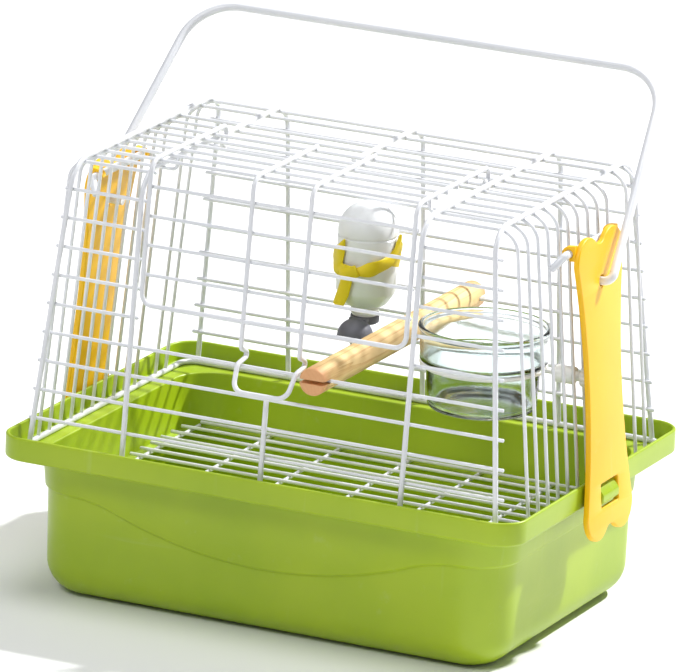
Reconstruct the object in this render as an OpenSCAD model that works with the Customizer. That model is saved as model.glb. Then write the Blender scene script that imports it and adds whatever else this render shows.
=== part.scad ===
// Small wire travel cage on a deep tub, with a bail handle and two side latches.
// The front is at -Y, the length runs along X, and the tub stands on z = 0.

/* [Tub] */
// Length over the rim
tub_l = 230; // [200:1:280]
// Width over the rim
tub_w = 168; // [150:1:205]
// Height to the top of the rim
tub_h = 68.5; // [58:0.5:84]
// Wall thickness of the moulding
tub_wall = 2; // [1.6:0.1:2.6]
// How far the rim flares out past the body
rim_flare = 10.5; // [9:0.5:13]
// Height of the rim's upright lip
lip_h = 10; // [7:0.5:13]
// Thickness of the lip and of the ledge inside it
lip_wall = 1.6; // [1.2:0.1:2]
// Corner radius of the rim
rim_corner_r = 12; // [8:1:18]
// Corner radius of the body
body_corner_r = 19; // [16:1:24]
// Radius between the walls and the floor
floor_edge_r = 14; // [8:1:15]
// How far each side leans in from the ledge to the floor
draft = 1.3; // [0.5:0.1:3]
// How far the band under the rim stands proud
band_proud = 1.2; // [0.6:0.1:2]
// Height of the band at the ends
band_h = 14; // [8:0.5:20]
// How much deeper the band hangs in the middle of the front and back
band_dip = 16; // [4:0.5:18]
// Half width of the dip
band_dip_half = 76; // [50:1:85]
// Depth of the grate's shelf below the ledge
shelf_down = 23.3; // [16:0.1:28]
// Width of the grate's shelf
shelf_w = 3; // [2:0.1:5]
// Half width of the catch pegs
peg_half = 8; // [5:0.5:12]
// How far the catch pegs stand out
peg_out = 4.5; // [3.5:0.1:5]

/* [Cage] */
// Height of the cage from the ledge to the middle of the roof hoops
cage_h = 121.4; // [100:0.1:150]
// How far each wall leans in up to the roof
wall_lean = 11; // [6:0.5:14]
// From the rim's outside to the base ring's middle, at the ends
ring_in_x = 6; // [5:0.5:7]
// From the rim's outside to the base ring's middle, at the front and back
ring_in_y = 7; // [5:0.5:8]
// Corner radius of the base ring
ring_corner_r = 7; // [5:0.5:10]
// Wire of the base ring
ring_d = 2.4; // [2:0.1:3]
// Wire of the hoops
hoop_d = 2.2; // [1.8:0.1:2.6]
// Wire of the thin rows
row_d = 1.5; // [1.2:0.1:1.8]
// Bend radius of the hoops
hoop_bend = 12; // [8:0.5:14]
// Bend radius of the end walls' wires
side_bend = 9; // [6:0.5:10]
// How far the end hoops stand in from the end walls
end_hoop_in = 5.5; // [4:0.5:8]
// Half distance between the door hoops
door_hoop_x = 61.6; // [50:0.1:70]
// Rows on the front and back walls
row_count = 9; // [8:1:10]
// The row that is the door's sill, counted from 0
sill_row = 3; // [2:1:4]
// From the base ring to the first row
first_row_up = 13.8; // [10:0.1:18]
// From the roof hoops down to the last row
last_row_down = 11.6; // [11.5:0.1:14]
// Wires of each half of the roof
roof_steps = 6; // [5:1:7]
// From the last roof wire to the roof's corner
roof_edge = 8.4; // [7:0.1:11]
// The rear roof step that has no wire
bare_step = 4; // [3:1:5]

/* [Door] */
// Wire of the door frame and of its latch
door_d = 2; // [1.6:0.1:2.2]
// Gap between a door hoop and the door frame
door_gap = 1.2; // [0.8:0.1:2]
// How far the lid stands above the roof hoops
lid_up = 5.5; // [5:0.1:7]
// From the sill up to the door's bottom wire
door_bottom_up = 18.15; // [14:0.05:22]
// Half distance between the two latch wires
latch_wire_x = 12.9; // [10:0.1:15]
// How far the finger loop hangs below the sill
loop_drop = 8.1; // [7:0.1:12]

/* [Handle] */
// Wire of the handle
handle_d = 3.5; // [3:0.1:4]
// Length of the handle's legs
handle_l = 97.8; // [85:0.1:120]
// Bend radius of the handle's upper corners
handle_bend = 21; // [12:1:30]
// How far each leg leans in up to the grip
handle_lean = 10.4; // [4:0.1:14]
// How far back the handle leans at rest
handle_back = 44.7; // [0:0.1:60]

/* [Side latches] */
// Wire of the latch brackets
bracket_d = 3.2; // [2.6:0.1:3.6]
// Thickness of the latches
latch_t = 2.4; // [2:0.1:3]
// Radius of the four lobes
lobe_r = 10.5; // [9:0.5:11]
// Half distance between two lobes
lobe_y = 11.5; // [10:0.5:13]
// Half width of the latch at its waist
waist_half = 16; // [13:0.5:18]

/* [Fittings] */
// Diameter of the perch
perch_d = 11.5; // [9:0.5:14]
// Place of the perch along the cage
perch_x = 21; // [20.5:0.5:26]
// Diameter of the bowl over its rim
bowl_d = 54; // [45:1:56]
// Height of the bowl
bowl_h = 34; // [28:1:40]
// Wall of the bowl
bowl_wall = 1.4; // [1:0.1:2]
// Place of the bowl along the cage
bowl_x = 64.5; // [62:0.5:66]
// Place of the bowl across the cage
bowl_y = -8; // [-9:0.5:-2]
// Diameter of the water dispenser
water_d = 25; // [20:1:28]
// Height of the water dispenser's body
water_h = 43.5; // [36:0.5:50]
// Place of the water dispenser along the cage
water_x = -17; // [-24:1:-16]

/* [Hidden] */

$fn = 48;
hull_fn = 32;
thin = 0.01;
// Depth to which crossing wires melt into each other
weld = 0.15;
// Radial play of a pin in an eye
pin_play = 0.08;
// How far a straight run reaches into the bend beside it
bend_lap = 0.1;
// How much thicker a wire is in its bends, as bent wire is
bend_swell = 0.02;

lime = "#a9bf1e";
white_wire = "#f2f2ee";
yellow = "#fdd72d";
timber = "#e6c68c";

// Tub
body_x = tub_l / 2 - rim_flare;
body_y = tub_w / 2 - rim_flare;
ledge_z = tub_h - lip_h + lip_wall;
body_lean = draft / (ledge_z - floor_edge_r);
shelf_z = ledge_z - shelf_down;
shelf_t = 1.5;
band_low = ledge_z - lip_wall - band_h;
peg_top = tub_h - 2.5;
peg_low = peg_top - 9;

// Grate
bar_d = 1.6;
bar_z = shelf_z + bar_d / 2;
grate_z = bar_z + (bar_d + row_d) / 2 - weld;
bar_end_x = body_x - 8.5;
grate_gap = 1.8;
grate_rows = 14;
grate_pitch = 2 * (body_y - 7.5) / grate_rows;

// Inside of the wall past a distance along the other axis, with the round corners
function inside(half, other_half, at) =
    let (r = body_corner_r - tub_wall, past = abs(at) - (other_half - body_corner_r))
    half - tub_wall - (past > 0 ? r - sqrt(r * r - past * past) : 0);

// Cage walls
ring_x = tub_l / 2 - ring_in_x;
ring_y = tub_w / 2 - ring_in_y;
ring_z = ledge_z + (ring_d + bend_swell) / 2;
foot_z = ring_z + ring_d / 2 - 0.3;
roof_z = ledge_z + cage_h;
lean = wall_lean / (roof_z - foot_z);
row_in = ((hoop_d + row_d) / 2 - weld) * sqrt(1 + lean * lean);
roof_row_z = roof_z - (hoop_d + row_d) / 2 + weld;
row_pitch = (roof_z - last_row_down - ring_z - first_row_up) / (row_count - 1);
roof_pitch = (ring_y - wall_lean - roof_edge) / roof_steps;
poke = 1.5;
door_poke = 0.4;

function wall_x(z) = ring_x - lean * (z - foot_z);
function wall_y(z) = ring_y - lean * (z - foot_z);
function row_z(k) = ring_z + first_row_up + k * row_pitch;
function end_hoop_x(z) = wall_x(z) - end_hoop_in;

sill_z = row_z(sill_row);
sill_y = wall_y(sill_z) - row_in;
// Roof steps that have a wire, from the front to the back
side_steps = [for (k = [-roof_steps : roof_steps]) if (k != bare_step) k];
side_end_x = wall_x(roof_row_z) - side_bend * tan(45 - atan(lean) / 2) - 1;

// Door
frame_x = door_hoop_x - hoop_d / 2 - door_gap - door_d / 2;
lid_z = roof_z + lid_up;
lid_row_z = lid_z - (door_d + row_d) / 2 + weld;
door_row_in = ((door_d + row_d) / 2 - weld) * sqrt(1 + lean * lean);
door_bottom_z = sill_z + door_bottom_up;
eye_r = (row_d + door_d) / 2 + pin_play;
eye_turn = 258;
lid_bend = 6;
door_row_end = frame_x + door_d / 2 - 0.4;
loop_z = sill_z - loop_drop;
loop_out = 9.7;
loop_taper = 1.2;
kink_z = sill_z + 7.4;
kink_y = -sill_y + 4.2;

// Latches and their brackets
bracket_z = roof_z - 18;
bracket_foot_z = bracket_z - 5.5;
bracket_x = wall_x(bracket_z) + 5.3;
bracket_half = 24.5;
bracket_foot_y = 3 * roof_pitch;
latch_in = bracket_d / 2 + 0.5;
hook_r = bracket_d / 2 + pin_play;
hook_wall = 1.8;
hook_w = 3;
hook_y = 19.8;
latch_lean = atan(lean);
// Heights along the latch, measured from the bracket's middle
latch_top = 4.5;
latch_low = (peg_low - bracket_z) / cos(latch_lean) - 12.9;
upper_lobe_z = latch_top - lobe_r;
lower_lobe_z = latch_low + lobe_r;
pivot_down = 15;

// Handle
leg_gap = 2.4;
pivot_z = bracket_z - pivot_down;
latch_out_x = bracket_x + (latch_in + latch_t) / cos(latch_lean) + pivot_down * tan(latch_lean);
leg_x = latch_out_x + handle_d / 2 + leg_gap;
pin_end_x = wall_x(pivot_z) + row_d / 2 + 1.2;
grip_x = leg_x - handle_lean;
handle_hole = handle_d + 1.3;
hole_down = (pivot_down + (latch_in + latch_t / 2) * sin(latch_lean)) / cos(latch_lean);
pin_bend = 3.4;

// Bowl, seen from its own middle
holder_d = 2;
holder_z = sill_z - 1.7;
bowl_step_z = holder_z + holder_d / 2 + 0.1;
bowl_rim_z = bowl_step_z + 14.7;
bowl_low_z = bowl_rim_z - bowl_h;
bowl_neck_r = bowl_d / 2 - 3.6;
bowl_foot_r = bowl_neck_r - 1.2;
holder_r = bowl_neck_r + 0.5 + holder_d / 2;
arm_y = -roof_pitch / 2;
arm_d = 4;
strut_d = 1.8;
sleeve_r = 3.6;
sleeve_l = 7.8;
arm_in_x = wall_x(holder_z) - 1.6;
knob_in_x = wall_x(holder_z) + 1.5;
knob_r = 3.9;
knob_l = 5;
stud_l = 2.5;

// Water dispenser
water_r = water_d / 2;
water_low = sill_z - 4.6;
water_cone = 6;
water_dome_z = water_low + water_h - water_r;
water_row_y = wall_y(row_z(sill_row + 1)) - row_in;
collar_low = water_low + 12;
collar_h = 15;
collar_t = 1.1;
water_y = wall_y(water_dome_z) - row_in - row_d / 2 - 0.5 - collar_t - water_r;
neck_r = 6;
hood_r = 7.5;
hood_z = water_low - 4.5;
hood_out = 8.7;
hood_wall = 1.2;

// A straight rod between two points
module rod(from, to, d) {
    way = to - from;
    translate(from)
        rotate([0, acos(way.z / norm(way)), atan2(way.y, way.x)])
            cylinder(h = norm(way), d = d);
}

function unit(v) = v / norm(v);
function turn_at(points, k) =
    acos(unit(points[k] - points[k - 1]) * unit(points[k + 1] - points[k]));
// Length that a bend takes off the straight runs beside it
function cut_at(points, bends, k) =
    k == 0 || k == len(points) - 1 ? 0 : bends[k - 1] * tan(turn_at(points, k) / 2) - bend_lap;

// A round bend at a corner between two directions
module elbow(corner, before, after, bend, d) {
    turn = acos(before * after);
    start = corner - before * bend * tan(turn / 2);
    centre = corner + unit(after - before) * bend / cos(turn / 2);
    x = unit(start - centre);
    z = unit(cross(before, after));
    y = cross(z, x);
    multmatrix([
        [x.x, y.x, z.x, centre.x],
        [x.y, y.y, z.y, centre.y],
        [x.z, y.z, z.z, centre.z],
        [0, 0, 0, 1]
    ])
        rotate_extrude(angle = turn) translate([bend, 0]) circle(d = d + bend_swell);
}

// A bent wire along points, with one bend radius for each inner point
module wire(points, bends, d) {
    for (k = [0 : len(points) - 2]) {
        way = unit(points[k + 1] - points[k]);
        rod(points[k] + way * cut_at(points, bends, k),
            points[k + 1] - way * cut_at(points, bends, k + 1), d);
    }
    for (k = [1 : len(points) - 2])
        elbow(points[k], unit(points[k] - points[k - 1]), unit(points[k + 1] - points[k]),
              bends[k - 1], d);
}

function mirror_x(points) = [for (k = [len(points) - 1 : -1 : 0]) [-points[k].x, points[k].y, points[k].z]];

// A rectangle with round corners, from its half sizes
module round_rect(half_x, half_y, r) {
    square([2 * (half_x - r), 2 * half_y], center = true);
    square([2 * half_x, 2 * (half_y - r)], center = true);
    for (sx = [-1, 1], sy = [-1, 1])
        translate([sx * (half_x - r), sy * (half_y - r)])
            circle(r);
}

// The tub's body shape, drawn in by an inset and open at a top height
module basin(inset, top) {
    r = body_corner_r - inset;
    edge = floor_edge_r - inset;
    low_x = body_x - draft - inset - r;
    low_y = body_y - draft - inset - r;
    out = draft + body_lean * (top - ledge_z);
    hull()
        for (sx = [-1, 1], sy = [-1, 1]) {
            translate([sx * low_x, sy * low_y, inset + edge])
                rotate_extrude($fn = hull_fn)
                    intersection() {
                        translate([r - edge, 0]) circle(edge, $fn = hull_fn);
                        translate([0, -edge]) square([r, 2 * edge]);
                    }
            translate([sx * (low_x + out), sy * (low_y + out), top - thin])
                cylinder(h = thin, r = r, $fn = hull_fn);
        }
}

// Share of the band's dip that is gone at a distance from the middle
function dip_gone(x) =
    let (u = abs(x) / band_dip_half)
    u < 0.8 ? u * u : u < 1.15 ? 1 - 2.94 * pow(1.15 - u, 2) : 1;

module band() {
    reach = body_x + 2 * band_proud;
    span = band_dip_half * 1.2;
    steps = 44;
    wave = [for (k = [0 : steps]) let (x = -span + 2 * span * k / steps)
        [x, band_low - band_dip * (1 - dip_gone(x))]];
    intersection() {
        basin(-band_proud, ledge_z);
        rotate([90, 0, 0])
            linear_extrude(tub_w, center = true)
                polygon(concat([[-reach, ledge_z], [-reach, band_low]], wave,
                               [[reach, band_low], [reach, ledge_z]]));
    }
}

module peg() {
    root = tub_l / 2 - lip_wall / 2;
    face = tub_l / 2;
    tip = face + peg_out;
    rotate([90, 0, 0])
        linear_extrude(2 * peg_half, center = true)
            polygon([[root, peg_low], [face, peg_low], [tip, peg_low + 1.8], [tip, peg_top - 3.5],
                     [face + 1.5, peg_top], [root, peg_top]]);
}

module tub() color(lime) {
    rim_x = tub_l / 2;
    rim_y = tub_w / 2;
    difference() {
        union() {
            basin(0, ledge_z);
            band();
            translate([0, 0, ledge_z - lip_wall])
                linear_extrude(lip_wall)
                    round_rect(rim_x, rim_y, rim_corner_r);
        }
        basin(tub_wall, tub_h);
    }
    translate([0, 0, ledge_z - lip_wall])
        linear_extrude(lip_h)
            difference() {
                round_rect(rim_x, rim_y, rim_corner_r);
                round_rect(rim_x - lip_wall, rim_y - lip_wall, rim_corner_r - lip_wall);
            }
    translate([0, 0, shelf_z - shelf_t])
        linear_extrude(shelf_t)
            difference() {
                round_rect(body_x - tub_wall / 2 - 1, body_y - tub_wall / 2 - 1, body_corner_r - 1);
                round_rect(body_x - tub_wall - shelf_w, body_y - tub_wall - shelf_w,
                           body_corner_r - shelf_w);
            }
    peg();
    mirror([1, 0, 0]) peg();
}

module floor_bars() color(white_wire) {
    for (k = [-3 : 3]) {
        x = k * bar_end_x / 3;
        half = inside(body_y, body_x, x) - draft / 2 - grate_gap;
        rod([x, -half, bar_z], [x, half, bar_z], bar_d);
    }
}

module floor_wires() color(white_wire) {
    for (k = [0 : grate_rows]) {
        y = (k - grate_rows / 2) * grate_pitch;
        half = inside(body_x, body_y, y) - draft / 2 - grate_gap;
        rod([-half, y, grate_z], [half, y, grate_z], row_d);
    }
}

module base_ring() color(white_wire) {
    half = [[0, -ring_y, ring_z], [ring_x, -ring_y, ring_z], [ring_x, ring_y, ring_z], [0, ring_y, ring_z]];
    wire(half, [ring_corner_r, ring_corner_r], ring_d);
    wire(mirror_x(half), [ring_corner_r, ring_corner_r], ring_d);
}

// A heavy hoop from the front of the base ring over the roof to the back
module hoop(foot_x, roof_x) color(white_wire)
    wire([[foot_x, -ring_y, foot_z], [roof_x, -wall_y(roof_z), roof_z],
          [roof_x, wall_y(roof_z), roof_z], [foot_x, ring_y, foot_z]],
         [hoop_bend, hoop_bend], hoop_d);

module hoop_left_end() hoop(-end_hoop_x(foot_z), -end_hoop_x(roof_z));
module hoop_left_door() hoop(-door_hoop_x, -door_hoop_x);
module hoop_right_door() hoop(door_hoop_x, door_hoop_x);
module hoop_right_end() hoop(end_hoop_x(foot_z), end_hoop_x(roof_z));

// The middle hoop starts at the door's hinge wire
module hoop_middle() color(white_wire)
    wire([[0, -row_d / 2, roof_z], [0, wall_y(roof_z), roof_z], [0, ring_y, foot_z]],
         [hoop_bend], hoop_d);

module front_post() color(white_wire)
    rod([0, -ring_y, foot_z], [0, -wall_y(row_z(sill_row - 1) + poke), row_z(sill_row - 1) + poke], hoop_d);

// A level row on the front (side -1) or back (side 1) wall
module wall_row(k, side, from, to) {
    y = side * (wall_y(row_z(k)) - row_in);
    rod([from, y, row_z(k)], [to, y, row_z(k)], row_d);
}

function row_end(k) = end_hoop_x(row_z(k)) + hoop_d / 2 + poke;

module front_wires_low() color(white_wire)
    for (k = [0 : sill_row])
        wall_row(k, -1, -row_end(k), row_end(k));

// The front rows beside the door, on the side with the given sign
module front_wires_beside(sign) color(white_wire)
    for (k = [sill_row + 1 : row_count - 1])
        wall_row(k, -1, sign * (door_hoop_x - hoop_d / 2 - door_poke), sign * row_end(k));

module front_wires_left() front_wires_beside(-1);
module front_wires_right() front_wires_beside(1);

module back_wires() color(white_wire)
    for (k = [0 : row_count - 1])
        wall_row(k, 1, -row_end(k), row_end(k));

// The first of these carries the door's hinge eyes
module roof_wires_back() color(white_wire)
    for (k = side_steps)
        if (k >= 0)
            rod([-side_end_x, k * roof_pitch, roof_row_z], [side_end_x, k * roof_pitch, roof_row_z], row_d);

// The front roof wires beside the door; one of them turns up as the lid's rest
module roof_wires_beside(sign) color(white_wire)
    for (k = side_steps)
        if (k < 0) {
            y = k * roof_pitch;
            rest_x = frame_x - door_d / 2 - 1.7;
            rest_z = lid_row_z - row_d / 2 - 0.3;
            start = [sign * side_end_x, y, roof_row_z];
            if (k == 1 - roof_steps)
                wire([start, [sign * rest_x, y, roof_row_z], [sign * rest_x, y, rest_z]], [2], row_d);
            else
                rod(start, [sign * (door_hoop_x - hoop_d / 2 - door_poke), y, roof_row_z], row_d);
        }

module roof_wires_left() roof_wires_beside(-1);
module roof_wires_right() roof_wires_beside(1);

// The end wall's wires, which bend over to meet the roof wires
module side_wires(sign) color(white_wire)
    for (k = side_steps) {
        y = k * roof_pitch;
        top_x = wall_x(roof_row_z);
        wire([[sign * ring_x, y, foot_z], [sign * top_x, y, roof_row_z], [sign * side_end_x, y, roof_row_z]],
             [side_bend], row_d);
    }

module side_wires_left() side_wires(-1);
module side_wires_right() side_wires(1);

// The wire on an end wall that its latch is hooked on
module bracket(sign) color(white_wire) {
    foot_x = wall_x(bracket_foot_z) + 0.6;
    wire([[sign * foot_x, -bracket_foot_y, bracket_foot_z], [sign * bracket_x, -bracket_half, bracket_z],
          [sign * bracket_x, bracket_half, bracket_z], [sign * foot_x, bracket_foot_y, bracket_foot_z]],
         [3, 3], bracket_d);
}

module bracket_left() bracket(-1);
module bracket_right() bracket(1);

module door_frame() color(white_wire) {
    half = [[frame_x, eye_r, roof_row_z - bend_lap],
            [frame_x, eye_r, lid_z],
            [frame_x, -wall_y(lid_z), lid_z],
            [frame_x, -wall_y(door_bottom_z), door_bottom_z]];
    wire(concat(half, mirror_x(half)), [3, lid_bend, 5, 5, lid_bend, 3], door_d);
    for (sign = [-1, 1])
        translate([sign * frame_x, 0, roof_row_z])
            rotate([90, 0, 90])
                rotate([0, 0, -eye_turn])
                    rotate_extrude(angle = eye_turn)
                        translate([eye_r, 0]) circle(d = door_d + bend_swell);
}

module door_wires() color(white_wire) {
    for (k = [1 : roof_steps])
        rod([-door_row_end, -k * roof_pitch, lid_row_z], [door_row_end, -k * roof_pitch, lid_row_z], row_d);
    for (k = [1 : 4]) {
        z = door_bottom_z + k * row_pitch;
        y = -wall_y(z) + door_row_in;
        rod([-door_row_end, y, z], [door_row_end, y, z], row_d);
    }
}

// Two wires over the door that kink behind the sill and join in a finger loop
module door_latch() color(white_wire) {
    x = latch_wire_x;
    half = [[x, -roof_pitch + poke, lid_z],
            [x, -wall_y(lid_z), lid_z],
            [x, -wall_y(kink_z), kink_z],
            [x, kink_y, sill_z + 5],
            [x, kink_y, sill_z + 2.65],
            [x, -sill_y - 3.7, sill_z + 1.45],
            [x - loop_taper, -sill_y - loop_out, loop_z]];
    wire(concat(half, mirror_x(half)),
         [lid_bend, 2, 1.2, 1.2, 2.5, 5, 5, 2.5, 1.2, 1.2, 2, lid_bend], door_d);
}

module handle() color(white_wire) {
    rise = handle_l * cos(handle_back);
    back = handle_l * sin(handle_back);
    half = [[pin_end_x, 0, pivot_z], [leg_x, 0, pivot_z], [grip_x, back, pivot_z + rise]];
    wire(concat(half, mirror_x(half)), [pin_bend, handle_bend, handle_bend, pin_bend], handle_d);
}

// Outline of a latch, with z up the page
module latch_outline() {
    mid_z = (upper_lobe_z + lower_lobe_z) / 2;
    span = (upper_lobe_z - lower_lobe_z) / 2;
    bow = lobe_y + lobe_r - waist_half;
    side_r = (span * span + bow * bow) / (2 * bow);
    difference() {
        union() {
            for (sy = [-1, 1], z = [upper_lobe_z, lower_lobe_z])
                translate([sy * lobe_y, z])
                    circle(lobe_r);
            translate([-lobe_y - lobe_r, lower_lobe_z])
                square([2 * (lobe_y + lobe_r), 2 * span]);
            translate([-5, lower_lobe_z - lobe_r + 2])
                square([10, 2 * (span + lobe_r) - 4]);
        }
        for (sy = [-1, 1])
            translate([sy * (waist_half + side_r), mid_z])
                circle(side_r, $fn = 180);
        for (z = [upper_lobe_z + lobe_r + 0.5, lower_lobe_z - lobe_r - 0.5])
            translate([0, z])
                circle(4.5);
        translate([0, -hole_down])
            circle(d = handle_hole);
        translate([-peg_half - 0.4, (peg_low - 0.5 - bracket_z) / cos(latch_lean)])
            square([2 * peg_half + 0.8, peg_top - peg_low + 1.1]);
    }
}

// A snap hook round the bracket's bar, open towards the cage
module snap_hook(y) {
    outer = hook_r + hook_wall;
    translate([0, y - hook_w / 2, 0])
        rotate([-90, 0, 0])
            difference() {
                union() {
                    cylinder(h = hook_w, r = outer);
                    translate([0, -outer, 0]) cube([latch_in + 0.5, 2 * outer, hook_w]);
                }
                translate([0, 0, -1]) cylinder(h = hook_w + 2, r = hook_r);
                translate([-outer - 1, 0.2, -1]) cube([outer + 1, outer + 1, hook_w + 2]);
            }
}

module latch_right() color(yellow)
    translate([bracket_x, 0, bracket_z])
        rotate([0, -latch_lean, 0]) {
            translate([latch_in, 0, 0])
                rotate([90, 0, 90])
                    linear_extrude(latch_t)
                        latch_outline();
            snap_hook(hook_y);
            snap_hook(-hook_y);
        }

module latch_left() mirror([1, 0, 0]) latch_right();

// A dowel whose end slots grip the sill wires
module perch() color(timber) {
    half = sill_y + 6.2;
    slot = row_d + 0.2;
    difference() {
        translate([perch_x, -half, sill_z])
            rotate([-90, 0, 0])
                cylinder(h = 2 * half, d = perch_d);
        for (side = [-1, 1])
            translate([perch_x, side * (sill_y + 3.5), sill_z])
                cube([perch_d + 1, 2 * (3.5 + row_d / 2 + 0.1), slot], center = true);
    }
}

// A round shape turned about an upright axis through the bowl's middle
module bowl() color("#cfe0e6", 0.6)
    translate([bowl_x, bowl_y, 0])
        rotate_extrude()
            polygon([[0, bowl_low_z], [bowl_foot_r - 2, bowl_low_z], [bowl_foot_r, bowl_low_z + 2],
                     [bowl_neck_r, bowl_step_z], [bowl_d / 2 - 1, bowl_step_z],
                     [bowl_d / 2 - 0.6, bowl_rim_z - 2], [bowl_d / 2, bowl_rim_z - 1.6],
                     [bowl_d / 2, bowl_rim_z], [bowl_d / 2 - 0.6 - bowl_wall, bowl_rim_z],
                     [bowl_d / 2 - 1 - bowl_wall, bowl_step_z + bowl_wall],
                     [bowl_neck_r - bowl_wall, bowl_step_z + bowl_wall],
                     [bowl_foot_r - bowl_wall, bowl_low_z + 2 + bowl_wall / 2],
                     [bowl_foot_r - bowl_wall - 1.4, bowl_low_z + bowl_wall],
                     [0, bowl_low_z + bowl_wall]]);

// The bowl's ring, its strut, the sleeve inside the end wall and the stud through it
module bowl_holder() color(white_wire) {
    translate([bowl_x, bowl_y, holder_z])
        rotate_extrude()
            translate([holder_r, 0]) circle(d = holder_d);
    arm_start = bowl_x + sqrt(holder_r * holder_r - pow(arm_y - bowl_y, 2));
    rod([arm_start, arm_y, holder_z], [arm_in_x - 1, arm_y, holder_z], strut_d);
    rod([arm_in_x - sleeve_l, arm_y, holder_z], [arm_in_x, arm_y, holder_z], 2 * sleeve_r);
    rod([arm_in_x - 1, arm_y, holder_z], [knob_in_x + stud_l, arm_y, holder_z], arm_d);
}

module bowl_knob() color(white_wire)
    difference() {
        rod([knob_in_x, arm_y, holder_z], [knob_in_x + knob_l, arm_y, holder_z], 2 * knob_r);
        rod([knob_in_x - 1, arm_y, holder_z], [knob_in_x + stud_l + 0.1, arm_y, holder_z], arm_d + 0.1);
    }

// Outside shape of the dispenser's body, drawn in by an inset
module water_shape(inset) {
    translate([0, 0, water_low + inset])
        cylinder(h = water_cone, r1 = water_r - 3.5 - inset, r2 = water_r - inset);
    translate([0, 0, water_low + inset + water_cone])
        cylinder(h = water_dome_z - water_low - inset - water_cone, r = water_r - inset);
    translate([0, 0, water_dome_z])
        sphere(water_r - inset);
}

module water_reservoir() color("#d9dfe2")
    translate([water_x, water_y, 0])
        difference() {
            water_shape(0);
            water_shape(1.2);
        }

// The band round the dispenser, its hanging tail and the clip on a back row
module water_collar() color(yellow) {
    clip_z = row_z(sill_row + 1);
    tail_turn = -26;
    ring_r = water_r + collar_t;
    translate([water_x, water_y, collar_low])
        difference() {
            cylinder(h = collar_h, r = ring_r);
            translate([0, 0, -1]) cylinder(h = collar_h + 2, r = water_r + 0.02);
        }
    translate([water_x, water_y, 0])
        rotate([0, 0, tail_turn])
            translate([-5, -ring_r - 1.2, collar_low - 11])
                cube([10, 1.6, collar_h + 8]);
    difference() {
        translate([water_x - 4, water_y + water_r + 0.2, clip_z - 3])
            cube([8, water_row_y + row_d / 2 + 1 - water_y - water_r - 0.2, 6]);
        translate([water_x - 5, water_row_y - row_d / 2 - 0.05, clip_z - 4])
            cube([10, row_d + 0.1, 4 + row_d / 2]);
    }
}

module water_neck() color("#e8e8e2")
    translate([water_x, water_y, hood_z])
        cylinder(h = water_low - hood_z, r = neck_r);

// The hood over the drinking spout, open below, and its bridge to the neck
module water_hood() color("#4c5052") {
    bridge_h = 3.5;
    dome_z = hood_z - hood_r;
    difference() {
        union() {
            translate([water_x, water_y - hood_out, dome_z])
                sphere(hood_r);
            translate([water_x - 4, water_y - hood_out, hood_z - bridge_h])
                cube([8, hood_out, bridge_h]);
            translate([water_x, water_y, hood_z - bridge_h])
                cylinder(h = bridge_h, r = neck_r);
        }
        translate([water_x, water_y - hood_out, dome_z])
            sphere(hood_r - hood_wall);
        translate([water_x - hood_r - 1, water_y - hood_out - hood_r - 1, dome_z - hood_r - 1])
            cube([2 * hood_r + 2, 2 * hood_r + 2, hood_r + 1]);
    }
}

tub();
floor_bars();
floor_wires();
base_ring();
hoop_left_end();
hoop_left_door();
hoop_middle();
hoop_right_door();
hoop_right_end();
front_post();
front_wires_low();
front_wires_left();
front_wires_right();
back_wires();
roof_wires_back();
roof_wires_left();
roof_wires_right();
side_wires_left();
side_wires_right();
bracket_left();
bracket_right();
door_frame();
door_wires();
door_latch();
handle();
latch_left();
latch_right();
perch();
bowl();
bowl_holder();
bowl_knob();
water_reservoir();
water_collar();
water_neck();
water_hood();
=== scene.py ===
"""Looks of a small wire travel cage on a deep lime tub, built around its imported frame."""

import logging
import math
from dataclasses import dataclass
from enum import Enum
from typing import Callable, Iterable, Sequence

import bmesh
import bpy
import numpy as np
from mathutils import Matrix, Vector
from mathutils.bvhtree import BVHTree


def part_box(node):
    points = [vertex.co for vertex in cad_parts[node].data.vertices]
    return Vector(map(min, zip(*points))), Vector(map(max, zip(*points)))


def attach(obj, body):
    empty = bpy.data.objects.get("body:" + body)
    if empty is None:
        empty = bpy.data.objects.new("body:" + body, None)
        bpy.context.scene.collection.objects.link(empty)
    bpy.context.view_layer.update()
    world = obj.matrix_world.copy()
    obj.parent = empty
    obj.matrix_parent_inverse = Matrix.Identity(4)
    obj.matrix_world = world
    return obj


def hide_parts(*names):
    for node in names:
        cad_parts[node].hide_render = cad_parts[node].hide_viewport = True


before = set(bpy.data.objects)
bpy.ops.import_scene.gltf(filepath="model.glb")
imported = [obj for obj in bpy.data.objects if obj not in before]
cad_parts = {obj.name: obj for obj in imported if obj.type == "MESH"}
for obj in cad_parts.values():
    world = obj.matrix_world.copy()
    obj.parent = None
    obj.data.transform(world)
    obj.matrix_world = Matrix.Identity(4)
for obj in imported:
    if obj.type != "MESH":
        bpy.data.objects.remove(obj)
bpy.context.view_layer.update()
LOG = logging.getLogger("cage")
MM = 0.001
Flat = tuple[float, float]
Point = tuple[float, float, float]
Ribbon = tuple[float, float, float, float, float]
Colour = tuple[float, float, float, float]
Material = bpy.types.Material
Mesh = bpy.types.Mesh
Node = bpy.types.Node
NodeTree = bpy.types.NodeTree
Socket = bpy.types.NodeSocket
Touch = tuple[float, Vector, Vector]
BeadSet = tuple[list[Vector], list[Vector], list[Vector]]


class Body(Enum):
    """The rigid bodies that pieces ride on."""

    CAGE = "root"
    DOOR = "door"
    BAIL = "bail"
    LATCH_LEFT = "latch_l"
    LATCH_RIGHT = "latch_r"
    BOWL = "bowl_body"


# Turns a flat shape's own X and Y to the cage's Y and Z
FACING_X = Matrix(((0, 0, 1, 0), (1, 0, 0, 0), (0, 1, 0, 0), (0, 0, 0, 1)))


# ---------------------------------------------------------------- shader parts


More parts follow.
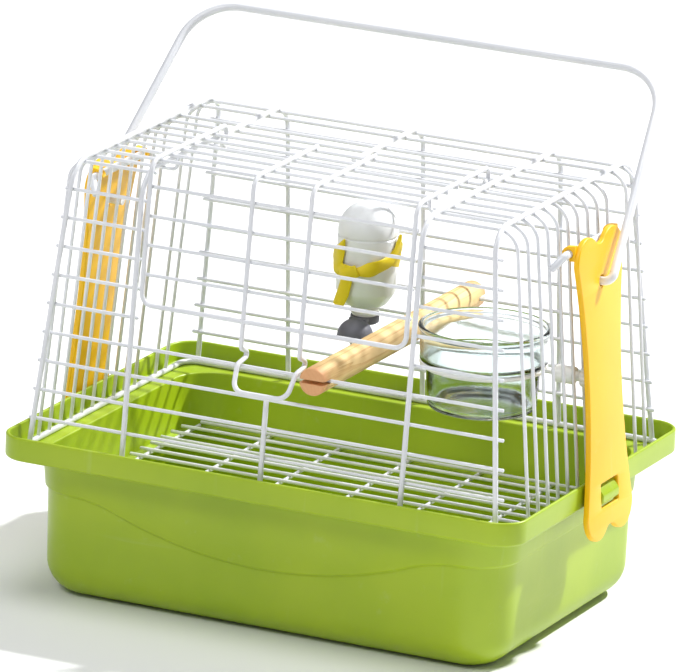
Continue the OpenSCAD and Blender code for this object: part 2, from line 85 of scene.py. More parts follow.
class Shader:
    """A node tree under construction, with short calls for its nodes and links."""

    def __init__(self, tree: NodeTree) -> None:
        """Wraps a tree.

        Args:
            tree: The node tree to fill.
        """
        self.tree = tree

    def add(self, kind: str, inputs: dict[str | int, object] | None = None,
            **settings: object) -> Node:
        """Adds a node, sets its properties and fills or links its inputs.

        Args:
            kind: The node's type name.
            inputs: Input names or indexes, each with a value or a socket to link from.
            **settings: Node properties.

        Returns:
            The new node.
        """
        node = self.tree.nodes.new(kind)
        for name, value in settings.items():
            setattr(node, name, value)
        for key, value in (inputs or {}).items():
            if isinstance(value, Socket):
                self.tree.links.new(value, node.inputs[key])
            else:
                node.inputs[key].default_value = value
        return node

    def ramp(self, factor: Socket, stops: Sequence[tuple[float, Colour]]) -> Socket:
        """Turns a value into a colour.

        Args:
            factor: The value's socket.
            stops: Places along the ramp with their colours.

        Returns:
            The colour socket.
        """
        node = self.add("ShaderNodeValToRGB", {0: factor})
        elements = node.color_ramp.elements
        while len(elements) < len(stops):
            elements.new(0.5)
        for element, (place, colour) in zip(elements, stops):
            element.position = place
            element.color = colour
        return node.outputs[0]

    def span(self, value: Socket, low: float, high: float, to: Flat) -> Socket:
        """Maps a value's range onto another one, with the ends held.

        Args:
            value: The value's socket.
            low: Start of the range taken.
            high: End of the range taken.
            to: The range given.

        Returns:
            The mapped value's socket.
        """
        node = self.add("ShaderNodeMapRange", {0: value, 1: low, 2: high, 3: to[0], 4: to[1]})
        return node.outputs[0]

    def mix(self, factor: object, first: object, second: object) -> Socket:
        """Mixes two colours.

        Args:
            factor: Share of the second colour, as a number or a socket.
            first: First colour or its socket.
            second: Second colour or its socket.

        Returns:
            The mixed colour's socket.
        """
        node = self.add("ShaderNodeMix", data_type="RGBA")
        for index, value in ((0, factor), (6, first), (7, second)):
            if isinstance(value, Socket):
                self.tree.links.new(value, node.inputs[index])
            else:
                node.inputs[index].default_value = value
        return node.outputs[2]

    def times(self, first: object, second: object, operation: str = "MULTIPLY") -> Socket:
        """Combines two values, by default as their product.

        Args:
            first: First value or its socket.
            second: Second value or its socket.
            operation: The maths operation.

        Returns:
            The result's socket.
        """
        return self.add("ShaderNodeMath", {0: first, 1: second}, operation=operation).outputs[0]


class Effects:
    """Shader node groups that several finishes share, each built once."""

    def __init__(self) -> None:
        """Builds every group."""
        self.mottle = self._mottle()
        self.scuffs = self._scuffs()
        self.dust = self._dust()
        self.peel = self._peel()

    @staticmethod
    def _group(name: str, inputs: dict[str, float],
               outputs: Iterable[str]) -> tuple[Shader, Node, Node]:
        """Starts a group with float sockets.

        Args:
            name: The group's name.
            inputs: Input names with their defaults.
            outputs: Output names.

        Returns:
            The shader helper, the group's input node and its output node.
        """
        tree = bpy.data.node_groups.new(name, "ShaderNodeTree")
        for label, value in inputs.items():
            socket = tree.interface.new_socket(label, in_out="INPUT", socket_type="NodeSocketFloat")
            socket.default_value = value
        for label in outputs:
            tree.interface.new_socket(label, in_out="OUTPUT", socket_type="NodeSocketFloat")
        shader = Shader(tree)
        return shader, shader.add("NodeGroupInput"), shader.add("NodeGroupOutput")

    def _mottle(self) -> NodeTree:
        """Slow uneven tone, as in moulded plastic or wood.

        Returns:
            The group.
        """
        shader, given, out = self._group("mottle", {"Scale": 20.0, "Detail": 3.0}, ["Mask"])
        place = shader.add("ShaderNodeTexCoord").outputs["Object"]
        noise = shader.add("ShaderNodeTexNoise", {"Vector": place, "Scale": given.outputs["Scale"],
                                                  "Detail": given.outputs["Detail"], "Roughness": 0.55})
        shader.tree.links.new(shader.span(noise.outputs["Fac"], 0.32, 0.68, (0.0, 1.0)), out.inputs["Mask"])
        return shader.tree

    def _scuffs(self) -> NodeTree:
        """Fine scratches that run mostly along the piece.

        Returns:
            The group.
        """
        shader, given, out = self._group("scuffs", {"Scale": 60.0, "Amount": 0.5}, ["Mask", "Height"])
        place = shader.add("ShaderNodeTexCoord").outputs["Object"]
        masks = []
        for turn, stretch in ((0.35, (0.08, 1.0, 1.0)), (-0.5, (1.0, 0.10, 1.0)), (1.2, (1.0, 1.0, 0.07))):
            turns = (turn, turn * 0.7, turn * 0.4)
            turned = shader.add("ShaderNodeMapping", {"Vector": place, "Rotation": turns, "Scale": stretch})
            noise = shader.add("ShaderNodeTexNoise", {"Vector": turned.outputs[0], "Detail": 6.0,
                                                      "Scale": given.outputs["Scale"], "Roughness": 0.62})
            masks.append(shader.span(noise.outputs["Fac"], 0.63, 0.74, (0.0, 1.0)))
        joined = shader.times(shader.times(masks[0], masks[1], "MAXIMUM"), masks[2], "MAXIMUM")
        mask = shader.times(joined, given.outputs["Amount"])
        shader.tree.links.new(mask, out.inputs["Mask"])
        shader.tree.links.new(shader.times(mask, -1.0), out.inputs["Height"])
        return shader.tree

    def _dust(self) -> NodeTree:
        """Pale dust that lies on faces that look up.

        Returns:
            The group.
        """
        shader, given, out = self._group("dust", {"Scale": 90.0, "Amount": 0.2}, ["Mask"])
        surface = shader.add("ShaderNodeNewGeometry")
        normal = shader.add("ShaderNodeSeparateXYZ", {0: surface.outputs["Normal"]})
        up = shader.span(normal.outputs[2], 0.55, 1.0, (0.0, 1.0))
        place = shader.add("ShaderNodeTexCoord").outputs["Object"]
        noise = shader.add("ShaderNodeTexNoise", {"Vector": place, "Detail": 5.0,
                                                  "Scale": given.outputs["Scale"]})
        patch = shader.span(noise.outputs["Fac"], 0.4, 0.7, (0.15, 1.0))
        mask = shader.times(shader.times(up, patch), given.outputs["Amount"])
        shader.tree.links.new(mask, out.inputs["Mask"])
        return shader.tree

    def _peel(self) -> NodeTree:
        """The shallow ripple of a dipped coat or a moulded skin.

        Returns:
            The group.
        """
        shader, given, out = self._group("peel", {"Scale": 400.0, "Fine": 2600.0}, ["Height"])
        place = shader.add("ShaderNodeTexCoord").outputs["Object"]
        broad, fine = (shader.add("ShaderNodeTexNoise", {"Vector": place, "Detail": detail,
                                                         "Scale": given.outputs[label]})
                       for label, detail in (("Scale", 2.0), ("Fine", 1.0)))
        both = shader.times(broad.outputs["Fac"], shader.times(fine.outputs["Fac"], 0.25), "ADD")
        shader.tree.links.new(both, out.inputs["Height"])
        return shader.tree


# ---------------------------------------------------------------- finishes


def linear(red: int, green: int, blue: int) -> Colour:
    """Turns a display colour into scene light.

    Args:
        red: Red from 0 to 255.
        green: Green from 0 to 255.
        blue: Blue from 0 to 255.

    Returns:
        The linear colour with a full alpha.
    """
    def one(value: int) -> float:
        """One channel."""
        share = value / 255
        return share / 12.92 if share <= 0.04045 else ((share + 0.055) / 1.055) ** 2.4

    return one(red), one(green), one(blue), 1.0


@dataclass(frozen=True)
class Plastic:
    """A moulded or dipped plastic finish."""

    name: str
    light: Colour
    deep: Colour
    slot: str
    roughness: float = 0.34
    worn_roughness: float = 0.55
    mottle_scale: float = 18.0
    scuff_scale: float = 130.0
    scuff: float = 0.35
    dust: float = 0.1
    ripple: float = 0.06
    ripple_scale: float = 350.0
    coat: float = 0.0
    glow: float = 0.0

    def build(self, effects: Effects) -> Material:
        """Makes the material.

        Args:
            effects: The shared shader groups.

        Returns:
            The material.
        """
        material, shader, skin = new_material(self.name)
        mottle = shader.add("ShaderNodeGroup", node_tree=effects.mottle)
        mottle.inputs["Scale"].default_value = self.mottle_scale
        scuffs = shader.add("ShaderNodeGroup", node_tree=effects.scuffs)
        scuffs.inputs["Scale"].default_value = self.scuff_scale
        scuffs.inputs["Amount"].default_value = self.scuff
        dust = shader.add("ShaderNodeGroup", node_tree=effects.dust)
        dust.inputs["Amount"].default_value = self.dust
        peel = shader.add("ShaderNodeGroup", node_tree=effects.peel)
        peel.inputs["Scale"].default_value = self.ripple_scale
        tone = shader.mix(mottle.outputs["Mask"], self.deep, self.light)
        pale = tuple(min(1.0, c * 0.6 + 0.38) for c in self.light[:3]) + (1.0,)
        tone = shader.mix(shader.times(scuffs.outputs["Mask"], 0.3), tone, pale)
        tone = shader.mix(dust.outputs["Mask"], tone, (0.75, 0.74, 0.70, 1.0))
        rough = shader.span(scuffs.outputs["Mask"], 0.0, 1.0, (self.roughness, self.worn_roughness))
        rough = shader.times(rough, shader.times(dust.outputs["Mask"], 0.4), "ADD")
        height = shader.times(peel.outputs["Height"], shader.times(scuffs.outputs["Height"], 0.4), "ADD")
        bump = shader.add("ShaderNodeBump", {"Strength": self.ripple, "Distance": 0.0004, "Height": height})
        shader.tree.links.new(tone, skin.inputs["Base Color"])
        shader.tree.links.new(rough, skin.inputs["Roughness"])
        shader.tree.links.new(bump.outputs[0], skin.inputs["Normal"])
        skin.inputs["Coat Weight"].default_value = self.coat
        skin.inputs["Coat Roughness"].default_value = 0.12
        if self.glow:
            skin.inputs["Subsurface Weight"].default_value = self.glow
            skin.inputs["Subsurface Radius"].default_value = (0.006, 0.006, 0.002)
            skin.inputs["Subsurface Scale"].default_value = 1.0
        return material


@dataclass(frozen=True)
class Wood:
    """A turned dowel with its grain along Y."""

    name: str
    slot: str
    centre: Vector
    light: Colour = linear(240, 208, 146)
    dark: Colour = linear(203, 156, 92)
    end: Colour = linear(221, 160, 112)
    reach: float = 0.076

    def build(self, effects: Effects) -> Material:
        """Makes the material.

        Args:
            effects: The shared shader groups.

        Returns:
            The material.
        """
        material, shader, skin = new_material(self.name)
        place = shader.add("ShaderNodeTexCoord").outputs["Object"]
        off_heart = (-self.centre.x + 0.011, 0.0, -self.centre.z + 0.007)
        moved = shader.add("ShaderNodeMapping", {"Vector": place, "Location": off_heart})
        long = shader.add("ShaderNodeMapping", {"Vector": moved.outputs[0], "Scale": (1.0, 0.035, 1.0)})
        sway = shader.add("ShaderNodeTexNoise", {"Vector": long.outputs[0], "Scale": 120.0, "Detail": 2.0})
        bent = shader.add("ShaderNodeMix", {0: 0.004, 4: long.outputs[0], 5: sway.outputs["Color"]},
                          data_type="VECTOR")
        rings = shader.add("ShaderNodeTexWave", {"Vector": bent.outputs[1], "Scale": 210.0, "Detail": 2.0,
                                                 "Distortion": 1.6, "Detail Scale": 1.4},
                           wave_type="RINGS", rings_direction="Y", wave_profile="SAW")
        fibre = shader.add("ShaderNodeTexNoise", {"Vector": long.outputs[0], "Scale": 2600.0, "Detail": 3.0})
        grain = shader.times(shader.times(rings.outputs["Fac"], 0.62),
                             shader.times(fibre.outputs["Fac"], 0.45), "ADD")
        tone = shader.ramp(grain, [(0.12, self.light), (0.62, self.light), (0.95, self.dark)])
        flecks = shader.add("ShaderNodeTexNoise", {"Vector": long.outputs[0], "Scale": 900.0, "Detail": 1.0})
        fleck = shader.span(flecks.outputs["Fac"], 0.66, 0.72, (0.0, 0.45))
        tone = shader.mix(fleck, tone, self.dark)
        along = shader.add("ShaderNodeSeparateXYZ", {0: place}).outputs[1]
        tip = shader.span(shader.times(along, 0.0, "ABSOLUTE"), self.reach - 0.006, self.reach, (0.0, 0.85))
        tone = shader.mix(tip, tone, self.end)
        mottle = shader.add("ShaderNodeGroup", node_tree=effects.mottle)
        mottle.inputs["Scale"].default_value = 45.0
        tone = shader.mix(shader.times(mottle.outputs["Mask"], 0.22), tone, self.end)
        bump = shader.add("ShaderNodeBump", {"Strength": 0.25, "Distance": 0.0002, "Height": grain})
        shader.tree.links.new(tone, skin.inputs["Base Color"])
        shader.tree.links.new(shader.span(grain, 0.0, 1.0, (0.5, 0.68)), skin.inputs["Roughness"])
        shader.tree.links.new(bump.outputs[0], skin.inputs["Normal"])
        return material


@dataclass(frozen=True)
class Clear:
    """A clear moulded plastic with faint haze and scratches."""

    name: str
    slot: str
    tint: Colour = linear(238, 246, 247)
    ior: float = 1.45

    def build(self, effects: Effects) -> Material:
        """Makes the material.

        Args:
            effects: The shared shader groups.

        Returns:
            The material.
        """
        material, shader, skin = new_material(self.name)
        scuffs = shader.add("ShaderNodeGroup", node_tree=effects.scuffs)
        scuffs.inputs["Scale"].default_value = 160.0
        scuffs.inputs["Amount"].default_value = 0.6
        peel = shader.add("ShaderNodeGroup", node_tree=effects.peel)
        peel.inputs["Scale"].default_value = 160.0
        rough = shader.span(scuffs.outputs["Mask"], 0.0, 1.0, (0.03, 0.22))
        bump = shader.add("ShaderNodeBump", {"Strength": 0.08, "Distance": 0.0006,
                                             "Height": peel.outputs["Height"]})
        skin.inputs["Base Color"].default_value = self.tint
        skin.inputs["IOR"].default_value = self.ior
        skin.inputs["Transmission Weight"].default_value = 1.0
        shader.tree.links.new(rough, skin.inputs["Roughness"])
        shader.tree.links.new(bump.outputs[0], skin.inputs["Normal"])
        return material


def new_material(name: str) -> tuple[Material, Shader, Node]:
    """Starts a node material.

    Args:
        name: The material's name.

    Returns:
        The material, its shader helper and its Principled node.
    """
    material = bpy.data.materials.new(name)
    material.use_nodes = True
    return material, Shader(material.node_tree), material.node_tree.nodes["Principled BSDF"]


class Palette:
    """Every finish of the cage, built once."""

    def __init__(self, effects: Effects) -> None:
        """Builds the materials.

        Args:
            effects: The shared shader groups.
        """
        low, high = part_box("perch")
        finishes = {
            "lime": Plastic("lime_tub", linear(166, 190, 28), linear(150, 178, 18), "lime_plastic",
                            roughness=0.36, scuff=0.3, dust=0.05, ripple=0.05, glow=0.05),
            "wire": Plastic("white_coated_wire", linear(233, 234, 238), linear(222, 224, 229), "white_wire",
                            roughness=0.3, scuff=0.15, dust=0.04, ripple=0.12, ripple_scale=900.0, coat=0.3),
            "yellow": Plastic("yellow_latch", linear(250, 196, 0), linear(246, 186, 0), "yellow_plastic",
                              roughness=0.42, scuff=0.4, ripple=0.06),
            "collar": Plastic("yellow_band", linear(238, 214, 20), linear(214, 188, 8), "yellow_plastic",
                              roughness=0.5, ripple=0.15, ripple_scale=700.0),
            "white": Plastic("white_fitting", linear(246, 246, 243), linear(238, 238, 235), "white_plastic",
                             roughness=0.38),
            "pale": Plastic("milky_reservoir", linear(236, 238, 240), linear(226, 229, 232), "pale_plastic",
                            roughness=0.3, scuff=0.25),
            "dark": Plastic("grey_hood", linear(112, 112, 124), linear(92, 92, 104), "dark_plastic",
                            roughness=0.5),
            "wood": Wood("perch_beech", "perch_wood", (low + high) / 2),
            "clear": Clear("clear_bowl", "clear_bowl"),
        }
        self.slots = {key: finish.slot for key, finish in finishes.items()}
        self.materials = {key: finish.build(effects) for key, finish in finishes.items()}

    def dress_cad(self, key: str, nodes: Iterable[str]) -> None:
        """Gives carried-over CAD nodes a finish.

        Args:
            key: The finish.
            nodes: Names of the CAD nodes.
        """
        for name in nodes:
            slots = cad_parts[name].material_slots
            for slot in slots:
                slot.material = self.materials[key]


# ---------------------------------------------------------------- mesh helpers


def place(name: str, mesh: Mesh, material: Material, sharp: float = 40.0) -> bpy.types.Object:
    """Links a finished mesh into the scene with smooth shading and its finish.

    Args:
        name: The piece's name.
        mesh: Its mesh, in the row frame and in metres.
        material: Its finish.
        sharp: Edges that turn by more than this many degrees stay sharp.

    Returns:
        The piece.
    """
    mesh.name = name
    mesh.materials.clear()
    mesh.materials.append(material)
    mesh.polygons.foreach_set("use_smooth", [True] * len(mesh.polygons))
    mesh.set_sharp_from_angle(angle=math.radians(sharp))
    piece = bpy.data.objects.new(name, mesh)
    bpy.context.scene.collection.objects.link(piece)
    return piece


def finish_piece(piece: bpy.types.Object, body: Body, nodes: Sequence[str] = ()) -> None:
    """Puts a piece on its body and hides the CAD nodes that it stands for.

    Args:
        piece: The piece.
        body: The body that it rides on.
        nodes: CAD nodes that it replaces.
    """
    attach(piece, body.value)
    if nodes:
        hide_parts(*nodes)
    LOG.info("%s: %d faces on %s", piece.name, len(piece.data.polygons), body.value)


def mesh_from(bm: bmesh.types.BMesh, name: str) -> Mesh:
    """Turns a bmesh into a mesh with its faces pointing outwards.

    Args:
        bm: The bmesh, which is freed.
        name: The mesh's name.

    Returns:
        The mesh.
    """
    bmesh.ops.recalc_face_normals(bm, faces=bm.faces)
    mesh = bpy.data.meshes.new(name)
    bm.to_mesh(mesh)
    bm.free()
    return mesh


def loft(rings: Sequence[Sequence[Point]], name: str, closed: bool = False) -> Mesh:
    """Skins rings of equal length, with flat caps unless the last ring joins the first.

    Args:
        rings: The rings in order, each a loop of points.
        name: The mesh's name.
        closed: Whether the last ring joins the first.

    Returns:
        The mesh.
    """
    bm = bmesh.new()
    loops = [[bm.verts.new(p) for p in ring] for ring in rings]
    pairs = list(zip(loops, loops[1:]))
    if closed:
        pairs.append((loops[-1], loops[0]))
    for low, high in pairs:
        for k in range(len(low)):
            n = (k + 1) % len(low)
            bm.faces.new((low[k], low[n], high[n], high[k]))
    if not closed:
        bm.faces.new(list(reversed(loops[0])))
        bm.faces.new(loops[-1])
    return mesh_from(bm, name)


def lathe(profile: Sequence[Flat], centre: Flat, name: str,
          steps: int = 64) -> Mesh:
    """Turns a profile about an upright axis; its ends on the axis close the shape.

    Args:
        profile: Radius and height pairs, from one end on the axis to the other.
        centre: Place of the axis.
        name: The mesh's name.
        steps: Steps around.

    Returns:
        The mesh.
    """
    bm = bmesh.new()
    rings: list[list[bmesh.types.BMVert]] = []
    for radius, height in profile:
        if radius == 0.0:
            rings.append([bm.verts.new((centre[0], centre[1], height))])
            continue
        turns = [math.tau * k / steps for k in range(steps)]
        rings.append([bm.verts.new((centre[0] + radius * math.cos(a), centre[1] + radius * math.sin(a),
                                    height)) for a in turns])
    for low, high in zip(rings, rings[1:]):
        for k in range(steps):
            n = (k + 1) % steps
            corners = [low[k % len(low)], low[n % len(low)], high[n % len(high)], high[k % len(high)]]
            kept = [v for i, v in enumerate(corners) if v not in corners[:i]]
            if len(kept) > 2:
                bm.faces.new(kept)
    return mesh_from(bm, name)


def arc(centre: Flat, radius: float, start: float, end: float, steps: int) -> list[Flat]:
    """Points on an arc in the radius and height plane.

    Args:
        centre: Centre of the arc.
        radius: Its radius.
        start: Start angle in degrees.
        end: End angle in degrees.
        steps: Steps along it.

    Returns:
        The points.
    """
    turns = [math.radians(start + (end - start) * k / steps) for k in range(steps + 1)]
    return [(centre[0] + radius * math.cos(t), centre[1] + radius * math.sin(t)) for t in turns]


# ---------------------------------------------------------------- tub


@dataclass
class Tub:
    """The moulded tub: body, wavy band, flared rim, ledge, grate shelf and catch pegs."""

    flare: float = 10.5 * MM
    wall: float = 2.0 * MM
    lip_wall: float = 1.6 * MM
    lip_height: float = 10.0 * MM
    rim_corner: float = 12.0 * MM
    body_corner: float = 19.0 * MM
    floor_edge: float = 14.0 * MM
    draft: float = 1.3 * MM
    proud: float = 1.2 * MM
    band_height: float = 14.0 * MM
    band_dip: float = 16.0 * MM
    dip_half: float = 76.0 * MM
    peg_out: float = 4.5 * MM
    peg_half: float = 8.0 * MM
    shelf_width: float = 3.0 * MM
    shelf_thickness: float = 1.5 * MM
    panel_in: float = 9.0 * MM
    panel_step: float = 0.8 * MM
    least_corner: float = 1.5 * MM
    corner_steps: int = 14
    long_steps: int = 72
    short_steps: int = 20

    def __post_init__(self) -> None:
        """Takes the overall sizes from the frame."""
        low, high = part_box("tub")
        self.rim_x = high.x - self.peg_out
        self.rim_y = high.y
        self.top = high.z
        self.body_x = self.rim_x - self.flare
        self.body_y = self.rim_y - self.flare
        self.ledge = self.top - self.lip_height + self.lip_wall
        self.band_low = self.top - self.lip_height - self.band_height
        self.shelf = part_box("floor_bars")[0].z

    def dip(self, x: float) -> float:
        """How far the band's edge hangs below its height at the ends.

        Args:
            x: Place along the tub.

        Returns:
            The drop in metres.
        """
        u = abs(x) / self.dip_half
        gone = u * u if u < 0.8 else 1 - 2.94 * (1.15 - u) ** 2 if u < 1.15 else 1.0
        return self.band_dip * (1 - gone)

    def ring(self, half_x: float, half_y: float, corner: float,
             height: Callable[[float], float]) -> list[Point]:
        """One loop of points round a rectangle with round corners.

        Args:
            half_x: Half length.
            half_y: Half width.
            corner: Corner radius.
            height: Height as a function of the place along X.

        Returns:
            The loop, counter-clockwise from the front right.
        """
        flat: list[Flat] = []
        mid_x = half_x - corner
        mid_y = half_y - corner
        sides = ((1, -1, -90, self.short_steps), (1, 1, 0, self.long_steps),
                 (-1, 1, 90, self.short_steps), (-1, -1, 180, self.long_steps))
        for index, (sx, sy, start, steps) in enumerate(sides):
            turns = [math.radians(start + 90 * k / self.corner_steps) for k in range(self.corner_steps + 1)]
            flat += [(sx * mid_x + corner * math.cos(t), sy * mid_y + corner * math.sin(t)) for t in turns]
            nx, ny, after, _ = sides[(index + 1) % 4]
            turn = math.radians(after)
            goal = (nx * mid_x + corner * math.cos(turn), ny * mid_y + corner * math.sin(turn))
            last = flat[-1]
            flat += [(last[0] + (goal[0] - last[0]) * k / steps, last[1] + (goal[1] - last[1]) * k / steps)
                     for k in range(1, steps)]
        return [(x, y, height(x)) for x, y in flat]

    def body_ring(self, inset: float, height: Callable[[float], float] | float) -> list[Point]:
        """A loop on the drafted body, drawn in by an inset.

        Args:
            inset: Distance in from the outside of the body.
            height: Height, or a function that gives it.

        Returns:
            The loop.
        """
        given = height if callable(height) else lambda x: height
        lean = self.draft / (self.ledge - self.floor_edge)
        lean_in = lean * (self.ledge - max(given(0.0), self.floor_edge))
        move = inset + lean_in
        corner = max(self.body_corner - inset, self.least_corner)
        return self.ring(self.body_x - move, self.body_y - move, corner, given)

    def rows(self) -> list[list[Point]]:
        """Every loop of the moulding, from under the floor, round the rim and back to the floor inside.

        Returns:
            The loops.
        """
        rows: list[list[Point]] = []
        edge = self.floor_edge
        foot_step = 0.6 * MM
        for inset in (60 * MM, 34 * MM, 22 * MM):
            rows.append(self.body_ring(inset, foot_step))
        rows.append(self.body_ring(edge + 5 * MM, foot_step))
        rows.append(self.body_ring(edge + 4 * MM, foot_step * 0.5))
        rows.append(self.body_ring(edge + 3 * MM, 0.0))
        for inset, height in arc((edge, edge), edge, 270, 180, 12):
            rows.append(self.body_ring(inset, height))
        knee = 0.7 * MM
        for share in (0.35, 0.75):
            rows.append(self.body_ring(
                0.0, lambda x, s=share: edge + (self.band_low - self.dip(x) - knee - edge) * s))
        for inset, drop in ((0.0, 1.3 * knee), (-0.06 * MM, knee * 0.6), (-0.55 * self.proud, 0.1 * knee),
                            (-0.9 * self.proud, -0.35 * knee), (-self.proud, -1.1 * knee)):
            rows.append(self.body_ring(inset, lambda x, d=drop: self.band_low - self.dip(x) - d))
        under = self.ledge - self.lip_wall
        fillet = 1.4 * MM
        rows.append(self.body_ring(-self.proud, lambda x: (self.band_low - self.dip(x) + under - fillet) / 2))
        for out, height in arc((self.proud + fillet, under - fillet), fillet, 180, 90, 5):
            rows.append(self.body_ring(-out, height))
        round_low = 1.3 * MM
        for out, height in arc((-round_low, under + round_low), round_low, 270, 360, 6):
            rows.append(self.rim_ring(out, height))
        crown = self.lip_wall / 2
        for out, height in arc((-crown, self.top - crown), crown, 0, 180, 8):
            rows.append(self.rim_ring(out, height))
        toe = 0.9 * MM
        for out, height in arc((-self.lip_wall - toe, self.ledge + toe), toe, 360, 270, 4):
            rows.append(self.rim_ring(out, height))
        lip = 0.8 * MM
        for inset, height in arc((self.wall - lip, self.ledge - lip), lip, 90, 0, 4):
            rows.append(self.body_ring(inset, height))
        shelf_in = self.wall + self.shelf_width
        for inset, height in ((self.wall, self.shelf + 0.6 * MM),
                              (self.wall + 0.2 * MM, self.shelf + 0.15 * MM),
                              (self.wall + 0.6 * MM, self.shelf), (shelf_in - 0.4 * MM, self.shelf),
                              (shelf_in, self.shelf - 0.4 * MM), (shelf_in, self.shelf - 1.1 * MM),
                              (shelf_in - 0.4 * MM, self.shelf - self.shelf_thickness),
                              (self.wall + 0.3 * MM, self.shelf - self.shelf_thickness - 0.3 * MM),
                              (self.wall, self.shelf - self.shelf_thickness - 1.2 * MM)):
            rows.append(self.body_ring(inset, height))
        for inset, height in arc((edge, edge), edge - self.wall, 180, 270, 10):
            rows.append(self.body_ring(inset, height))
        floor = self.wall
        panel = edge + self.panel_in
        raised = floor + self.panel_step
        for inset, height in ((panel, floor), (panel + 0.5 * MM, floor + self.panel_step * 0.3),
                              (panel + 1.3 * MM, raised), (panel + 9 * MM, raised), (60 * MM, raised)):
            rows.append(self.body_ring(inset, height))
        return rows

    def rim_ring(self, out: float, height: float) -> list[Point]:
        """A loop on the rim.

        Args:
            out: Distance out from the rim's outside face; inwards is negative.
            height: Its height.

        Returns:
            The loop.
        """
        return self.ring(self.rim_x + out, self.rim_y + out, self.rim_corner + out, lambda x: height)

    def peg(self, sign: int) -> Mesh:
        """One catch peg on an end of the rim.

        Args:
            sign: +1 for the right end, -1 for the left.

        Returns:
            The mesh.
        """
        top = self.top - 2.5 * MM
        low = top - 9.0 * MM
        face = self.rim_x
        root = face - self.lip_wall / 2
        tip = face + self.peg_out
        side = [(root, low), (face + 0.6 * MM, low), (tip - 0.5 * MM, low + 1.6 * MM),
                (tip, low + 2.3 * MM), (tip, top - 4.1 * MM), (tip - 0.5 * MM, top - 3.2 * MM),
                (face + 1.7 * MM, top - 0.4 * MM), (face + 1.0 * MM, top), (root, top)]
        slices = ((-1.0, 0.45 * MM), (-0.94, 0.0), (0.94, 0.0), (1.0, 0.45 * MM))
        mid = (low + top) / 2
        rings = [[(sign * (x - cut * (x > face)), share * self.peg_half, z + (cut if z < mid else -cut))
                  for x, z in side] for share, cut in slices]
        return loft(rings, "tub_peg")

    def build(self, palette: Palette) -> None:
        """Makes the tub and its pegs.

        Args:
            palette: The finishes.
        """
        shell = place("tub_moulding", loft(self.rows(), "tub"), palette.materials["lime"], sharp=55)
        finish_piece(shell, Body.CAGE, ["tub"])
        for sign, side in ((1, "right"), (-1, "left")):
            peg = place(f"catch_peg_{side}", self.peg(sign), palette.materials["lime"], sharp=30)
            finish_piece(peg, Body.CAGE)


# ---------------------------------------------------------------- repeated details


class BeadNodes:
    """A Geometry Nodes tree that puts a small bead on every point of a mesh."""

    def __init__(self, name: str) -> None:
        """Builds the tree.

        Args:
            name: The tree's name.
        """
        tree = bpy.data.node_groups.new(name, "GeometryNodeTree")
        tree.interface.new_socket("Geometry", in_out="INPUT", socket_type="NodeSocketGeometry")
        for label, value in (("Width", 0.0007), ("Spread", 0.12)):
            socket = tree.interface.new_socket(label, in_out="INPUT", socket_type="NodeSocketFloat")
            socket.default_value = value
        tree.interface.new_socket("Seed", in_out="INPUT", socket_type="NodeSocketInt")
        tree.interface.new_socket("Finish", in_out="INPUT", socket_type="NodeSocketMaterial")
        tree.interface.new_socket("Geometry", in_out="OUTPUT", socket_type="NodeSocketGeometry")
        shader = Shader(tree)
        given = shader.add("NodeGroupInput")
        bead = shader.add("GeometryNodeMeshIcoSphere", {"Radius": 1.0, "Subdivisions": 2})
        axis, shape = (shader.add("GeometryNodeInputNamedAttribute", {"Name": label},
                                  data_type="FLOAT_VECTOR") for label in ("axis", "shape"))
        turn = shader.add("FunctionNodeAlignRotationToVector", {"Vector": axis.outputs["Attribute"]},
                          axis="Z")
        vary = shader.add("FunctionNodeRandomValue", {"Seed": given.outputs["Seed"]}, data_type="FLOAT")
        low = shader.times(1.0, given.outputs["Spread"], "SUBTRACT")
        high = shader.times(1.0, given.outputs["Spread"], "ADD")
        tree.links.new(low, vary.inputs[2])
        tree.links.new(high, vary.inputs[3])
        width = shader.times(vary.outputs[1], given.outputs["Width"])
        size = shader.add("ShaderNodeVectorMath", {0: shape.outputs["Attribute"], "Scale": width},
                          operation="SCALE")
        beads = shader.add("GeometryNodeInstanceOnPoints", {
            "Points": given.outputs["Geometry"], "Instance": bead.outputs["Mesh"],
            "Rotation": turn.outputs[0], "Scale": size.outputs[0]})
        real = shader.add("GeometryNodeRealizeInstances", {0: beads.outputs[0]})
        dressed = shader.add("GeometryNodeSetMaterial", {"Geometry": real.outputs[0],
                                                         "Material": given.outputs["Finish"]})
        out = shader.add("NodeGroupOutput")
        tree.links.new(dressed.outputs[0], out.inputs[0])
        self.tree = tree

    def apply(self, name: str, points: Sequence[Point], axes: Sequence[Point], shapes: Sequence[Point],
              values: dict[str, object]) -> Mesh:
        """Runs the tree over points.

        Args:
            name: The mesh's name.
            points: Places of the beads.
            axes: The way each bead's Z axis looks.
            shapes: Each bead's size along its own axes, as a share of the width.
            values: The tree's input values by name.

        Returns:
            The finished mesh.
        """
        cloud = bpy.data.meshes.new(name + "_points")
        cloud.from_pydata([tuple(p) for p in points], [], [])
        for label, data in (("axis", axes), ("shape", shapes)):
            layer = cloud.attributes.new(label, "FLOAT_VECTOR", "POINT")
            layer.data.foreach_set("vector", np.array(data, dtype=np.float32).ravel())
        holder = bpy.data.objects.new(name + "_points", cloud)
        bpy.context.scene.collection.objects.link(holder)
        modifier = holder.modifiers.new("beads", "NODES")
        modifier.node_group = self.tree
        sockets = {item.name: item.identifier for item in self.tree.interface.items_tree
                   if item.in_out == "INPUT"}
        for label, value in values.items():
            modifier[sockets[label]] = value
        mesh = evaluated(holder)
        bpy.data.objects.remove(holder)
        return mesh


def evaluated(holder: bpy.types.Object) -> Mesh:
    """Takes the mesh that an object's modifiers or curve settings give.

    Args:
        holder: The object.

    Returns:
        A plain mesh.
    """
    bpy.context.view_layer.update()
    graph = bpy.context.evaluated_depsgraph_get()
    return bpy.data.meshes.new_from_object(holder.evaluated_get(graph), depsgraph=graph)


